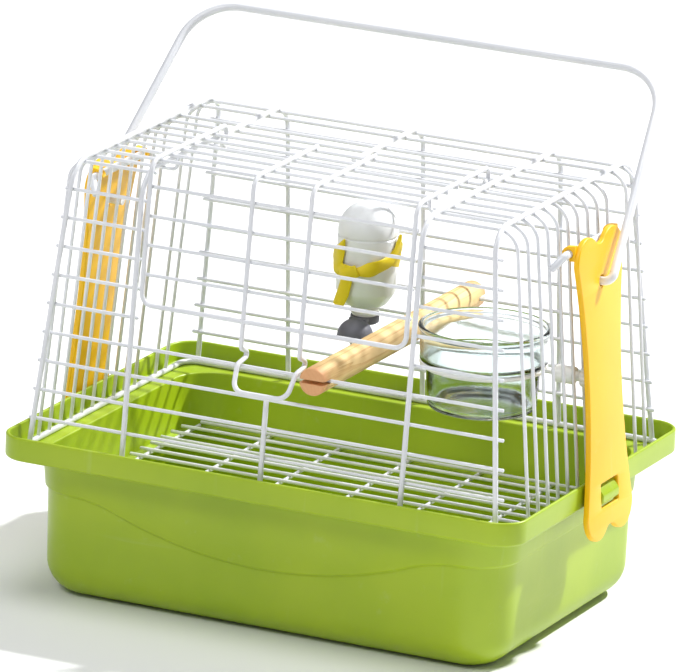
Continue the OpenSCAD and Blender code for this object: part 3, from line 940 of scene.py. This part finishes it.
def islands(name: str) -> list[list[Vector]]:
    """Splits a CAD node's mesh into its separate wires.

    Args:
        name: The node.

    Returns:
        The points of each wire.
    """
    bm = bmesh.new()
    bm.from_mesh(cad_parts[name].data)
    bmesh.ops.transform(bm, matrix=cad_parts[name].matrix_world, verts=bm.verts)
    bmesh.ops.remove_doubles(bm, verts=bm.verts, dist=1e-6)
    bm.verts.ensure_lookup_table()
    seen: set[int] = set()
    found = []
    for start in bm.verts:
        if start.index in seen:
            continue
        seen.add(start.index)
        queue, points = [start], []
        while queue:
            vert = queue.pop()
            points.append(vert.co.copy())
            for edge in vert.link_edges:
                other = edge.other_vert(vert)
                if other.index not in seen:
                    seen.add(other.index)
                    queue.append(other)
        found.append(points)
    bm.free()
    return found


def tree_of(names: Iterable[str]) -> BVHTree:
    """Joins CAD nodes into one search tree.

    Args:
        names: The nodes.

    Returns:
        The tree.
    """
    points: list[Vector] = []
    faces: list[tuple[int, ...]] = []
    for name in names:
        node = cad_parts[name]
        start = len(points)
        points += [node.matrix_world @ v.co for v in node.data.vertices]
        faces += [tuple(start + k for k in polygon.vertices) for polygon in node.data.polygons]
    return BVHTree.FromPolygons(points, faces)


@dataclass
class Beads:
    """Spot-weld beads where wires cross, and the round ends of cut wires."""

    weld_width: float = 0.62 * MM
    weld_spread: float = 0.16
    near: float = 0.05 * MM
    step: float = 0.3 * MM
    seed: int = 7
    straight: tuple[str, ...] = ("front_wires_low", "front_wires_left", "front_wires_right", "back_wires",
                                 "roof_wires_back", "roof_wires_left", "roof_wires_right", "floor_wires")
    crossed: tuple[str, ...] = ("hoop_left_end", "hoop_left_door", "hoop_middle", "hoop_right_door",
                                "hoop_right_end", "front_post", "floor_bars", "side_wires_left",
                                "side_wires_right")
    door_crossed: tuple[str, ...] = ("door_frame", "door_latch")

    @staticmethod
    def ends(points: Sequence[Vector]) -> tuple[Vector, Vector, float]:
        """Finds the two end centres and the radius of a straight wire.

        Args:
            points: The wire's points.

        Returns:
            First end, last end and radius.
        """
        cloud = np.array(points)
        middle = cloud.mean(axis=0)
        axis = np.linalg.svd(cloud - middle, full_matrices=False)[2][0]
        along = (cloud - middle) @ axis
        first = cloud[along < along.min() + 1e-5].mean(axis=0)
        last = cloud[along > along.max() - 1e-5].mean(axis=0)
        off = (cloud - middle) - np.outer(along, axis)
        return Vector(first), Vector(last), float(np.median(np.linalg.norm(off, axis=1)))

    def crossings(self, wires: Iterable[str], others: BVHTree) -> BeadSet:
        """Finds where straight wires meet other wires.

        Args:
            wires: Nodes whose wires are walked along.
            others: The wires that they meet.

        Returns:
            Weld places, the directions between the wires, and the bead shapes.
        """
        beads: BeadSet = ([], [], [])
        for name in wires:
            for points in islands(name):
                first, last, radius = self.ends(points)
                count = max(2, int((last - first).length / self.step))
                run: list[Touch] = []
                for k in range(count + 1):
                    spot = first.lerp(last, k / count)
                    hit, _, _, distance = others.find_nearest(spot)
                    if hit is not None and distance < radius + self.near:
                        run.append((distance, spot, hit))
                        continue
                    self.keep(run, radius, beads)
                    run = []
                self.keep(run, radius, beads)
        return beads

    @staticmethod
    def keep(run: list[Touch], radius: float, beads: BeadSet) -> None:
        """Adds the middle of one run of touching samples as a weld.

        Args:
            run: Samples as distance, place on the axis and place on the other wire.
            radius: The wire's radius.
            beads: Weld places, directions and shapes, added to.
        """
        if not run:
            return
        _, spot, hit = run[len(run) // 2]
        way = hit - spot
        if way.length < 1e-6:
            return
        beads[0].append(spot + way.normalized() * radius)
        beads[1].append(way.normalized())
        beads[2].append(Vector((1.25, 1.25, 0.85)))

    def caps(self, wires: Iterable[str]) -> BeadSet:
        """Places a round end on every cut wire end.

        Args:
            wires: Nodes of straight wires.

        Returns:
            Places, directions and shapes.
        """
        places, axes, shapes = [], [], []
        for name in wires:
            for points in islands(name):
                first, last, radius = self.ends(points)
                way = (last - first).normalized()
                for spot in (first, last):
                    share = radius / self.weld_width
                    places.append(spot)
                    axes.append(way)
                    shapes.append(Vector((share * 0.985, share * 0.985, share * 0.55)))
        return places, axes, shapes

    def build(self, palette: Palette) -> None:
        """Makes the beads of the cage and of the door.

        Args:
            palette: The finishes.
        """
        nodes = BeadNodes("bead_on_point")
        for body, walked, crossed in ((Body.CAGE, self.straight, self.crossed),
                                      (Body.DOOR, ("door_wires",), self.door_crossed)):
            welds = self.crossings(walked, tree_of(crossed))
            ends = self.caps(walked)
            kinds = (("weld_beads", welds, self.weld_spread), ("wire_ends", ends, 0.0))
            for kind, (places, axes, shapes), spread in kinds:
                values = {"Width": self.weld_width, "Spread": spread, "Seed": self.seed,
                          "Finish": palette.materials["wire"]}
                mesh = nodes.apply(f"{kind}_{body.value}", places, axes, shapes, values)
                piece = place(f"{kind}_{body.value}", mesh, palette.materials["wire"], sharp=180)
                finish_piece(piece, body)


# ---------------------------------------------------------------- plates


@dataclass(frozen=True)
class Plate:
    """A flat shape with rounded edges, drawn in its own plane and then set in place."""

    loops: Sequence[Sequence[Flat]]
    thickness: float
    rounding: float
    matrix: Matrix

    def mesh(self, name: str) -> Mesh:
        """Makes the plate's mesh.

        Args:
            name: The mesh's name.

        Returns:
            The mesh.
        """
        curve = bpy.data.curves.new(name, "CURVE")
        curve.dimensions = "2D"
        curve.fill_mode = "BOTH"
        curve.extrude = self.thickness / 2 - self.rounding
        curve.bevel_depth = self.rounding
        curve.bevel_resolution = 3
        curve.offset = -self.rounding
        for loop in self.loops:
            spline = curve.splines.new("POLY")
            spline.points.add(len(loop) - 1)
            for point, (x, y) in zip(spline.points, loop):
                point.co = (x, y, 0.0, 1.0)
            spline.use_cyclic_u = True
        holder = bpy.data.objects.new(name, curve)
        bpy.context.scene.collection.objects.link(holder)
        mesh = evaluated(holder)
        bpy.data.objects.remove(holder)
        bm = bmesh.new()
        bm.from_mesh(mesh)
        bmesh.ops.remove_doubles(bm, verts=bm.verts, dist=2e-6)
        bmesh.ops.transform(bm, matrix=self.matrix, verts=bm.verts)
        return mesh_from(bm, name)


def join(meshes: Sequence[Mesh], name: str) -> Mesh:
    """Puts closed meshes together as one piece.

    Args:
        meshes: The meshes.
        name: The new mesh's name.

    Returns:
        The joined mesh.
    """
    bm = bmesh.new()
    for mesh in meshes:
        bm.from_mesh(mesh)
    return mesh_from(bm, name)


def soft_box(half_x: float, half_y: float, radius: float, at: Flat = (0.0, 0.0),
             steps: int = 6) -> list[Flat]:
    """A rectangle with round corners as a flat loop.

    Args:
        half_x: Half width.
        half_y: Half height.
        radius: Corner radius.
        at: Its middle.
        steps: Steps round each corner.

    Returns:
        The loop.
    """
    loop = []
    for sx, sy, start in ((1, -1, -90), (1, 1, 0), (-1, 1, 90), (-1, -1, 180)):
        centre = (at[0] + sx * (half_x - radius), at[1] + sy * (half_y - radius))
        loop += arc(centre, radius, start, start + 90, steps)
    return loop


@dataclass
class Latch:
    """A bone-shaped side latch with its bail hole, peg window and two snap hooks."""

    side: int
    body: Body
    node: str
    axis_x: float = 104.96 * MM
    axis_z: float = 163.5 * MM
    lean: float = math.atan(11 / 119.3)
    inner: float = 2.1 * MM
    thickness: float = 2.4 * MM
    lobe: float = 10.5 * MM
    lobe_out: float = 11.5 * MM
    waist: float = 16.0 * MM
    top: float = 4.5 * MM
    low: float = -119.852 * MM
    dent: float = 6.5 * MM
    bail_hole: float = 2.4 * MM
    bail_down: float = 15.37 * MM
    window: Flat = (8.4 * MM, 5.05 * MM)
    window_z: float = -102.4 * MM
    hook_inner: float = 1.68 * MM
    hook_wall: float = 1.4 * MM
    hook_width: float = 3.0 * MM
    hook_at: float = 19.8 * MM

    def outline(self) -> list[Flat]:
        """The bone's outline, across and up.

        Returns:
            The loop.
        """
        high, low = self.top - self.lobe, self.low + self.lobe
        half = (high - low) / 2
        bow = self.lobe_out + self.lobe - self.waist
        radius = (half * half + bow * bow) / (2 * bow)
        reach = math.degrees(math.asin(half / radius))
        dent_up = math.sqrt((self.lobe + self.dent) ** 2 - self.lobe_out ** 2)
        turn = math.degrees(math.atan2(dent_up, -self.lobe_out))
        quarter = arc((self.waist + radius, (high + low) / 2), radius, 180, 180 - reach, 24)
        upper = arc((self.lobe_out, high), self.lobe, 0, turn, 18)
        dent = arc((0.0, high + dent_up), self.dent, turn - 180, -90, 8)
        right_top = quarter[:-1] + upper + dent[1:]
        mid = (high + low) / 2
        right_low = [(x, 2 * mid - z) for x, z in reversed(right_top)]
        right = right_low[:-1] + right_top
        left = [(-x, z) for x, z in reversed(right)]
        return right + left[1:-1]

    def hook(self) -> list[Flat]:
        """The snap hook's C shape with its stem, in the plane across the bracket.

        Returns:
            The loop.
        """
        outer = self.hook_inner + self.hook_wall
        stem = self.inner + 0.6 * MM
        bore = arc((0.0, 0.0), self.hook_inner, -90, 180, 20)
        back = arc((0.0, 0.0), outer, 180, 90, 8)
        return [(0.0, -outer), (0.0, -self.hook_inner)] + bore[1:] + back + [(stem, outer), (stem, -outer)]

    def build(self, palette: Palette) -> None:
        """Makes the latch.

        Args:
            palette: The finishes.
        """
        tilt = Matrix.Translation((self.axis_x, 0.0, self.axis_z)) @ Matrix.Rotation(-self.lean, 4, "Y")
        hole = [(x, z - self.bail_down) for x, z in arc((0.0, 0.0), self.bail_hole, 0, 360, 32)[:-1]]
        window = soft_box(*self.window, 1.0 * MM, (0.0, self.window_z))
        middle = self.inner + self.thickness / 2
        plate = Plate([self.outline(), hole, window], self.thickness, 0.55 * MM,
                      tilt @ Matrix.Translation((middle, 0.0, 0.0)) @ FACING_X).mesh("latch_plate")
        parts = [plate]
        across = Matrix(((1, 0, 0, 0), (0, 0, -1, 0), (0, 1, 0, 0), (0, 0, 0, 1)))
        for sign in (-1, 1):
            shift = Matrix.Translation((0.0, sign * self.hook_at, 0.0))
            parts.append(Plate([self.hook()], self.hook_width, 0.3 * MM, tilt @ shift @ across).mesh("hook"))
        mesh = join(parts, self.node)
        if self.side < 0:
            mesh.transform(Matrix.Scale(-1, 4, (1, 0, 0)))
            mesh.flip_normals()
        piece = place(f"{self.node}_moulding", mesh, palette.materials["yellow"], sharp=50)
        finish_piece(piece, self.body, [self.node])


# ---------------------------------------------------------------- fittings


@dataclass
class Perch:
    """The turned dowel with its end slots."""

    slot_half: float = 0.85 * MM
    slot_deep: float = 4.35 * MM
    slot_at: float = 74.33 * MM
    round_end: float = 1.1 * MM

    def build(self, palette: Palette) -> None:
        """Makes the perch.

        Args:
            palette: The finishes.
        """
        low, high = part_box("perch")
        middle = (low + high) / 2
        radius = (high.x - low.x) / 2
        half = (high.y - low.y) / 2
        edge = self.round_end
        nose = arc((radius - edge, half - edge), edge, 90, 0, 6)
        profile = [(0.0, half)] + nose + [(radius, half * share) for share in (0.6, 0.2, -0.2, -0.6)]
        profile += [(r, -y) for r, y in reversed(nose)] + [(0.0, -half)]
        dowel = lathe(profile, (0.0, 0.0), "perch", 72)
        dowel.transform(Matrix.Translation(middle) @ Matrix.Rotation(math.radians(-90), 4, "X"))
        body = bpy.data.objects.new("perch_raw", dowel)
        bpy.context.scene.collection.objects.link(body)
        cutters = []
        for sign in (-1, 1):
            shape = soft_box(self.slot_deep, self.slot_half, 0.3 * MM, (sign * self.slot_at, 0.0), 2)
            mesh = Plate([shape], 4 * radius, 0.0,
                         Matrix.Translation((middle.x, 0.0, middle.z)) @ FACING_X).mesh("slot")
            cutter = bpy.data.objects.new("slot", mesh)
            bpy.context.scene.collection.objects.link(cutter)
            modifier = body.modifiers.new("slot", "BOOLEAN")
            modifier.operation = "DIFFERENCE"
            modifier.solver = "EXACT"
            modifier.object = cutter
            cutters.append(cutter)
        mesh = evaluated(body)
        for item in cutters + [body]:
            bpy.data.objects.remove(item)
        piece = place("perch_dowel", mesh, palette.materials["wood"], sharp=35)
        finish_piece(piece, Body.CAGE, ["perch"])


@dataclass
class Bowl:
    """The clear bowl with its bead, step and foot."""

    wall: float = 1.4 * MM
    neck_in: float = 3.6 * MM
    foot_in: float = 1.2 * MM
    rim_down: float = 14.7 * MM

    def build(self, palette: Palette) -> None:
        """Makes the bowl.

        Args:
            palette: The finishes.
        """
        low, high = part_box("bowl")
        out = (high.x - low.x) / 2
        neck = out - self.neck_in
        foot = neck - self.foot_in
        step = high.z - self.rim_down
        wall = self.wall
        upper = out - 1.0 * MM
        profile = [(0.0, low.z + 0.5 * MM), (foot - 5 * MM, low.z + 0.5 * MM), (foot - 4 * MM, low.z)]
        profile += arc((foot - 2 * MM, low.z + 2 * MM), 2 * MM, -90, -4, 8)
        profile += [((foot + neck) / 2, (low.z + step) / 2), (neck, step - 0.8 * MM),
                    (neck + 0.5 * MM, step - 0.05 * MM)]
        profile += arc((upper - 1.2 * MM, step + 1.2 * MM), 1.2 * MM, -75, 0, 6)
        profile += [(upper, high.z - 6 * MM), (upper + 0.1 * MM, high.z - 2.9 * MM),
                    (upper + 0.5 * MM, high.z - 2.4 * MM)]
        profile += arc((out - 1.1 * MM, high.z - 1.1 * MM), 1.1 * MM, -20, 180, 12)
        profile += [(upper - wall, high.z - 3.5 * MM), (upper - wall, step + 2.4 * MM)]
        profile += arc((upper - wall - 0.8 * MM, step + wall + 0.8 * MM), 0.8 * MM, 0, -80, 4)
        profile += [(neck - wall + 0.7 * MM, step + wall), (neck - wall, step + 0.6 * MM)]
        profile += [(foot - wall + 0.2 * MM, low.z + 5 * MM)]
        profile += arc((foot - wall - 2 * MM, low.z + wall + 2 * MM), 2 * MM, 0, -90, 6)
        profile += [(0.0, low.z + wall)]
        middle = ((low.x + high.x) / 2, (low.y + high.y) / 2)
        piece = place("bowl_clear", lathe(profile, middle, "bowl", 96), palette.materials["clear"], sharp=60)
        finish_piece(piece, Body.BOWL, ["bowl"])


@dataclass
class Knob:
    """The rounded nut outside the end wall."""

    flutes: int = 10
    flute_deep: float = 0.35 * MM

    def build(self, palette: Palette) -> None:
        """Makes the knob.

        Args:
            palette: The finishes.
        """
        low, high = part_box("bowl_knob")
        middle = (low + high) / 2
        radius = (high.z - low.z) / 2
        depth = high.x - low.x
        bore = 2.15 * MM
        side = [(bore, depth * 0.5), (bore, 0.0), (radius - 0.8 * MM, 0.0), (radius - 0.2 * MM, 0.25 * MM),
                (radius, 0.8 * MM)]
        side += [(radius * math.cos(a), depth * (0.4 + 0.6 * math.sin(a))) for a in
                 (math.radians(10 * k) for k in range(1, 9))] + [(0.0, depth)]
        mesh = lathe([(0.0, depth * 0.5)] + side, (0.0, 0.0), "knob", 80)
        for vert in mesh.vertices:
            far = math.hypot(vert.co.x, vert.co.y)
            if far > radius - 0.6 * MM:
                turn = math.atan2(vert.co.y, vert.co.x)
                cut = 1 - self.flute_deep / radius * max(0.0, math.cos(self.flutes * turn)) ** 2
                vert.co.x *= cut
                vert.co.y *= cut
        spot = Matrix.Translation((low.x, middle.y, middle.z))
        mesh.transform(spot @ Matrix.Rotation(math.radians(90), 4, "Y"))
        piece = place("knob_nut", mesh, palette.materials["white"], sharp=45)
        finish_piece(piece, Body.CAGE, ["bowl_knob"])


@dataclass
class Dispenser:
    """The milky dispenser with its twisted band and clip, neck, hood and spout loop."""

    cone: float = 6.0 * MM
    cone_in: float = 3.5 * MM
    ribbon: float = 0.5 * MM
    bow: float = 0.25 * MM
    clip_row: float = 16.45 * MM
    hood_wall: float = 1.2 * MM
    steps: int = 96

    def __post_init__(self) -> None:
        """Takes places and sizes from the frame."""
        low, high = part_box("water_reservoir")
        self.x = (low.x + high.x) / 2
        self.y = (low.y + high.y) / 2
        self.radius = (high.x - low.x) / 2
        self.low = low.z
        self.high = high.z

    def reservoir(self) -> Mesh:
        """The domed body with a moulding line round it.

        Returns:
            The mesh.
        """
        r, low = self.radius, self.low
        dome = self.high - r
        profile = [(0.0, low), (r - self.cone_in - 1 * MM, low), (r - self.cone_in, low + 0.8 * MM),
                   (r - 0.4 * MM, low + self.cone - 0.6 * MM), (r, low + self.cone + 0.4 * MM)]
        line = dome - 1.5 * MM
        cut = r - 0.35 * MM
        profile += [(r, line - 0.6 * MM), (cut, line - 0.3 * MM),
                    (cut, line + 0.3 * MM), (r, line + 0.6 * MM)]
        profile += arc((0.0, dome), r, 0, 90, 20)[:-1] + [(0.0, self.high)]
        return lathe(profile, (self.x, self.y), "reservoir", 72)

    def strip(self, path: Sequence[Ribbon], name: str,
              closed: bool = False) -> Mesh:
        """Sweeps a flat ribbon over the reservoir's wall.

        Args:
            path: Turn round the body, height, half width, stand-off and twist at each step.
            name: The mesh's name.
            closed: Whether the ribbon closes on itself.

        Returns:
            The mesh.
        """
        spine = [Vector((self.x + (self.radius + off) * math.cos(turn),
                         self.y + (self.radius + off) * math.sin(turn), z)) for turn, z, _, off, _ in path]
        rings = []
        for k, (turn, _, half, _, twist) in enumerate(path):
            before = spine[k - 1] if closed or k else spine[0]
            after = spine[(k + 1) % len(path)] if closed or k + 1 < len(path) else spine[-1]
            way = (after - before).normalized()
            out = Vector((math.cos(turn), math.sin(turn), 0.0))
            out = (out - way * out.dot(way)).normalized()
            across = way.cross(out)
            face = out * math.cos(twist) + across * math.sin(twist)
            wide = across * math.cos(twist) - out * math.sin(twist)
            ring = []
            for n in range(18):
                a = math.tau * n / 18
                u = math.copysign(abs(math.cos(a)) ** 0.6, math.cos(a))
                lift = math.sin(a) * self.ribbon + self.bow * math.cos(2.5 * u)
                ring.append(tuple(spine[k] + wide * (u * half) + face * lift))
            rings.append(ring)
        return loft(rings, name, closed)

    def band(self) -> Mesh:
        """The band: a twisted ribbon that sags at the front and rises at each side.

        Returns:
            The mesh.
        """
        path = []
        for k in range(self.steps):
            turn = math.tau * k / self.steps
            sag = max(0.0, -math.sin(turn))
            z = self.low + 21.5 * MM - 5.0 * MM * sag + 1.2 * MM * math.cos(turn)
            half = (3.6 - 1.3 * sag + 0.7 * math.sin(5 * turn)) * MM
            path.append((turn, z, half, 0.75 * MM, 0.28 * math.sin(6 * turn)))
        return self.strip(path, "band", closed=True)

    def tips(self) -> list[Mesh]:
        """The two pointed tips, the knot and the end that hangs from it.

        Returns:
            The meshes.
        """
        base = self.low
        left, right, knot = math.radians(-128), math.radians(-4), math.radians(-96)
        rise = [(0.0, 3.4), (0.25, 3.6), (0.5, 2.8), (0.75, 1.7), (1.0, 0.35)]
        parts = []
        for start, lean, climb, out, twist in ((left, 0.42, 11.5, 0.6, 0.3), (right, 0.25, 13.0, 0.5, -0.3)):
            parts.append(self.strip([(start + lean * (s - 0.2), base + (18 + climb * s) * MM, w * MM,
                                      (0.9 + out * s) * MM, twist * s) for s, w in rise], "tip"))
        fall = [(19.0, 3.0, 1.7, 0.02), (16.5, 3.1, 1.9, 0.0), (14.0, 2.7, 1.6, -0.06),
                (10.5, 2.9, 1.3, -0.14), (7.0, 3.1, 1.2, -0.22), (3.5, 3.0, 1.5, -0.32),
                (1.0, 2.7, 2.0, -0.38)]
        parts.append(self.strip([(knot + sway, base + z * MM, half * MM, off * MM, 0.35 * sway)
                                 for z, half, off, sway in fall], "tail"))
        side = [(knot - 0.28 + 0.09 * k, base + (14.0 + 0.55 * k) * MM, 2.6 * MM,
                 (1.7 + 0.5 * math.sin(k * 0.52)) * MM, 0.1) for k in range(7)]
        parts.append(self.strip(side, "knot"))
        return parts

    def clip(self) -> Mesh:
        """The clip that goes over a back row.

        Returns:
            The mesh.
        """
        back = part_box("water_collar")[1].y
        row_y, row_z = self.row()
        inner = self.y + self.radius + 0.5 * MM
        half = 3 * MM
        r = 0.8 * MM
        loop = [(back, row_z - half), (back, row_z + half - 0.4 * MM), (back - 0.5 * MM, row_z + half),
                (inner, row_z + half), (inner, row_z - half), (row_y - r, row_z - half)]
        loop += list(reversed(arc((row_y, row_z), r, 0, 180, 8))) + [(row_y + r, row_z - half)]
        across = Matrix.Translation((self.x, 0.0, 0.0)) @ FACING_X
        return Plate([loop], 8 * MM, 0.2 * MM, across).mesh("clip")

    def row(self) -> Flat:
        """Finds the back row that the clip holds.

        Returns:
            The row's place across and its height.
        """
        goal = self.low + self.clip_row
        starts = [Beads.ends(points)[0] for points in islands("back_wires")]
        nearest = min(starts, key=lambda spot: abs(spot.z - goal))
        return nearest.y, nearest.z

    def hood(self) -> Mesh:
        """The hood over the spout, open below, with its bridge and its foot.

        Returns:
            The mesh.
        """
        low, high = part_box("water_hood")
        top, base = high.z, low.z
        r = top - base
        inner = r - self.hood_wall
        centre = (self.x, low.y + r)
        profile = [(0.0, base + inner)] + arc((0.0, base), inner, 90, 0, 16)[1:]
        profile += [(inner + 0.3 * MM, base - 0.25 * MM), (r - 0.2 * MM, base - 0.25 * MM),
                    (r + 0.15 * MM, base + 0.1 * MM), (r, base + 0.7 * MM)]
        profile += arc((0.0, base), r, 8, 90, 16)[:-1] + [(0.0, top)]
        shell = lathe(profile, centre, "hood", 64)
        outline = soft_box(4 * MM, 3.0 * MM, 1 * MM, (self.x, self.y - 4.6 * MM))
        middle = Matrix.Translation((0, 0, top - 1.8 * MM))
        bridge = Plate([outline], 3.0 * MM, 0.4 * MM, middle).mesh("bridge")
        under = top - 3.5 * MM
        foot = lathe([(0.0, under), (5.2 * MM, under), (6 * MM, under + 0.6 * MM), (6 * MM, top - 0.5 * MM),
                      (5.6 * MM, top), (0.0, top)], (self.x, self.y), "foot", 48)
        return join([shell, bridge, foot], "hood")

    def loop(self) -> Mesh:
        """The thin spout loop that hangs through the hood.

        Returns:
            The mesh.
        """
        low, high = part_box("water_hood")
        middle = Vector((self.x, low.y + high.z - low.z, low.z - 0.6 * MM))
        rings = []
        for k in range(40):
            turn = math.tau * k / 40
            out = Vector((math.cos(turn), 0.0, math.sin(turn)))
            spine = middle + Vector((out.x * 2.6 * MM, 0.0, out.z * 3.6 * MM))
            rings.append([tuple(spine + (out * math.cos(a) + Vector((0, 1, 0)) * math.sin(a)) * 0.5 * MM)
                          for a in (math.tau * n / 10 for n in range(10))])
        return loft(rings, "loop", closed=True)

    def neck(self) -> Mesh:
        """The neck with two thread rings.

        Returns:
            The mesh.
        """
        low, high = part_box("water_neck")
        r = (high.x - low.x) / 2
        core = r - 0.7 * MM
        profile = [(0.0, low.z), (core, low.z)]
        for share in (0.25, 0.65):
            z = low.z + (high.z - low.z) * share
            profile += [(core, z - 0.5 * MM), (r, z - 0.2 * MM), (r, z + 0.2 * MM), (core, z + 0.5 * MM)]
        profile += [(core, high.z), (0.0, high.z)]
        return lathe(profile, (self.x, self.y), "neck", 56)

    def build(self, palette: Palette) -> None:
        """Makes every piece of the dispenser.

        Args:
            palette: The finishes.
        """
        band = join([self.band(), *self.tips(), self.clip()], "collar")
        pieces = (("reservoir_body", self.reservoir(), "pale", ["water_reservoir"]),
                  ("twisted_band", band, "collar", ["water_collar"]),
                  ("dispenser_neck", self.neck(), "white", ["water_neck"]),
                  ("spout_hood", self.hood(), "dark", ["water_hood"]),
                  ("spout_loop", self.loop(), "white", []))
        for name, mesh, finish, nodes in pieces:
            piece = place(name, mesh, palette.materials[finish], sharp=45)
            finish_piece(piece, Body.CAGE, nodes)


# ---------------------------------------------------------------- studio


@dataclass
class Studio:
    """Camera, lights, floor and world."""

    azimuth: float = 24.83
    elevation: float = 16.07
    roll: float = 2.42
    distance: float = 3.64935
    lens: float = 477.2
    sensor: float = 36.0
    aim_right: float = -0.00296
    aim_up: float = 0.03807
    aim_height: float = 0.068
    floor_half: float = 6.0

    def build(self) -> None:
        """Makes everything around the object."""
        self.camera()
        self.lights()
        self.floor()
        scene = bpy.context.scene
        scene.view_settings.view_transform = "Standard"

    def camera(self) -> None:
        """Sets the camera up at its angle."""
        turn = math.radians(self.azimuth)
        rise = math.radians(self.elevation)
        back = Vector((math.sin(turn) * math.cos(rise), -math.cos(turn) * math.cos(rise), math.sin(rise)))
        right = Vector((math.cos(turn), math.sin(turn), 0.0))
        up = back.cross(right)
        where = right * self.aim_right + up * self.aim_up + back * self.distance
        where.z += self.aim_height
        spin = math.radians(self.roll)
        side = right * math.cos(spin) + up * math.sin(spin)
        top = up * math.cos(spin) - right * math.sin(spin)
        data = bpy.data.cameras.new("camera")
        data.lens = self.lens
        data.sensor_width = self.sensor
        data.clip_end = 60.0
        camera = bpy.data.objects.new("camera", data)
        rows = [(side[k], top[k], back[k], where[k]) for k in range(3)]
        camera.matrix_world = Matrix(rows + [(0.0, 0.0, 0.0, 1.0)])
        bpy.context.scene.collection.objects.link(camera)
        bpy.context.scene.camera = camera

    def lights(self) -> None:
        """Adds the soft lights and the pale surroundings."""
        aim = Vector((0.0, 0.0, 0.1))
        for name, spot, size, power in (("key", Vector((0.72, 1.15, 1.45)), 0.09, 52.0),
                                        ("fill", Vector((-0.5, -1.9, 2.3)), 1.1, 24.0),
                                        ("top", Vector((0.0, -0.2, 2.6)), 1.4, 24.0)):
            data = bpy.data.lights.new(name, "AREA")
            data.shape = "DISK"
            data.size = size
            data.energy = power
            light = bpy.data.objects.new(name, data)
            light.matrix_world = Matrix.LocRotScale(spot, (spot - aim).to_track_quat("Z", "Y"), None)
            bpy.context.scene.collection.objects.link(light)
        world = bpy.data.worlds.new("world")
        world.use_nodes = True
        world.node_tree.nodes["Background"].inputs[0].default_value = (0.93, 0.96, 1.0, 1.0)
        world.node_tree.nodes["Background"].inputs[1].default_value = 0.24
        bpy.context.scene.world = world

    def floor(self) -> None:
        """Lays a plain pale floor."""
        half = self.floor_half
        mesh = bpy.data.meshes.new("floor")
        corners = [(-half, -half, 0), (half, -half, 0), (half, half, 0), (-half, half, 0)]
        mesh.from_pydata(corners, [], [(0, 1, 2, 3)])
        material, _, skin = new_material("pale_floor")
        skin.inputs["Base Color"].default_value = (0.9, 0.9, 0.9, 1.0)
        skin.inputs["Roughness"].default_value = 0.8
        mesh.materials.append(material)
        floor = bpy.data.objects.new("floor", mesh)
        bpy.context.scene.collection.objects.link(floor)


def main() -> None:
    """Builds the whole scene."""
    logging.basicConfig(level=logging.INFO, format="%(name)s: %(message)s")
    Studio().build()
    palette = Palette(Effects())
    wires = [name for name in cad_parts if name.startswith(
        ("hoop", "front_", "back_", "roof_", "side_", "bracket", "door_", "handle", "base_ring", "floor_"))]
    palette.dress_cad("wire", wires)
    palette.dress_cad("white", ["bowl_holder"])
    Tub().build(palette)
    Beads().build(palette)
    Latch(1, Body.LATCH_RIGHT, "latch_right").build(palette)
    Latch(-1, Body.LATCH_LEFT, "latch_left").build(palette)
    Perch().build(palette)
    Bowl().build(palette)
    Knob().build(palette)
    Dispenser().build(palette)


if __name__ == "__main__":
    main()
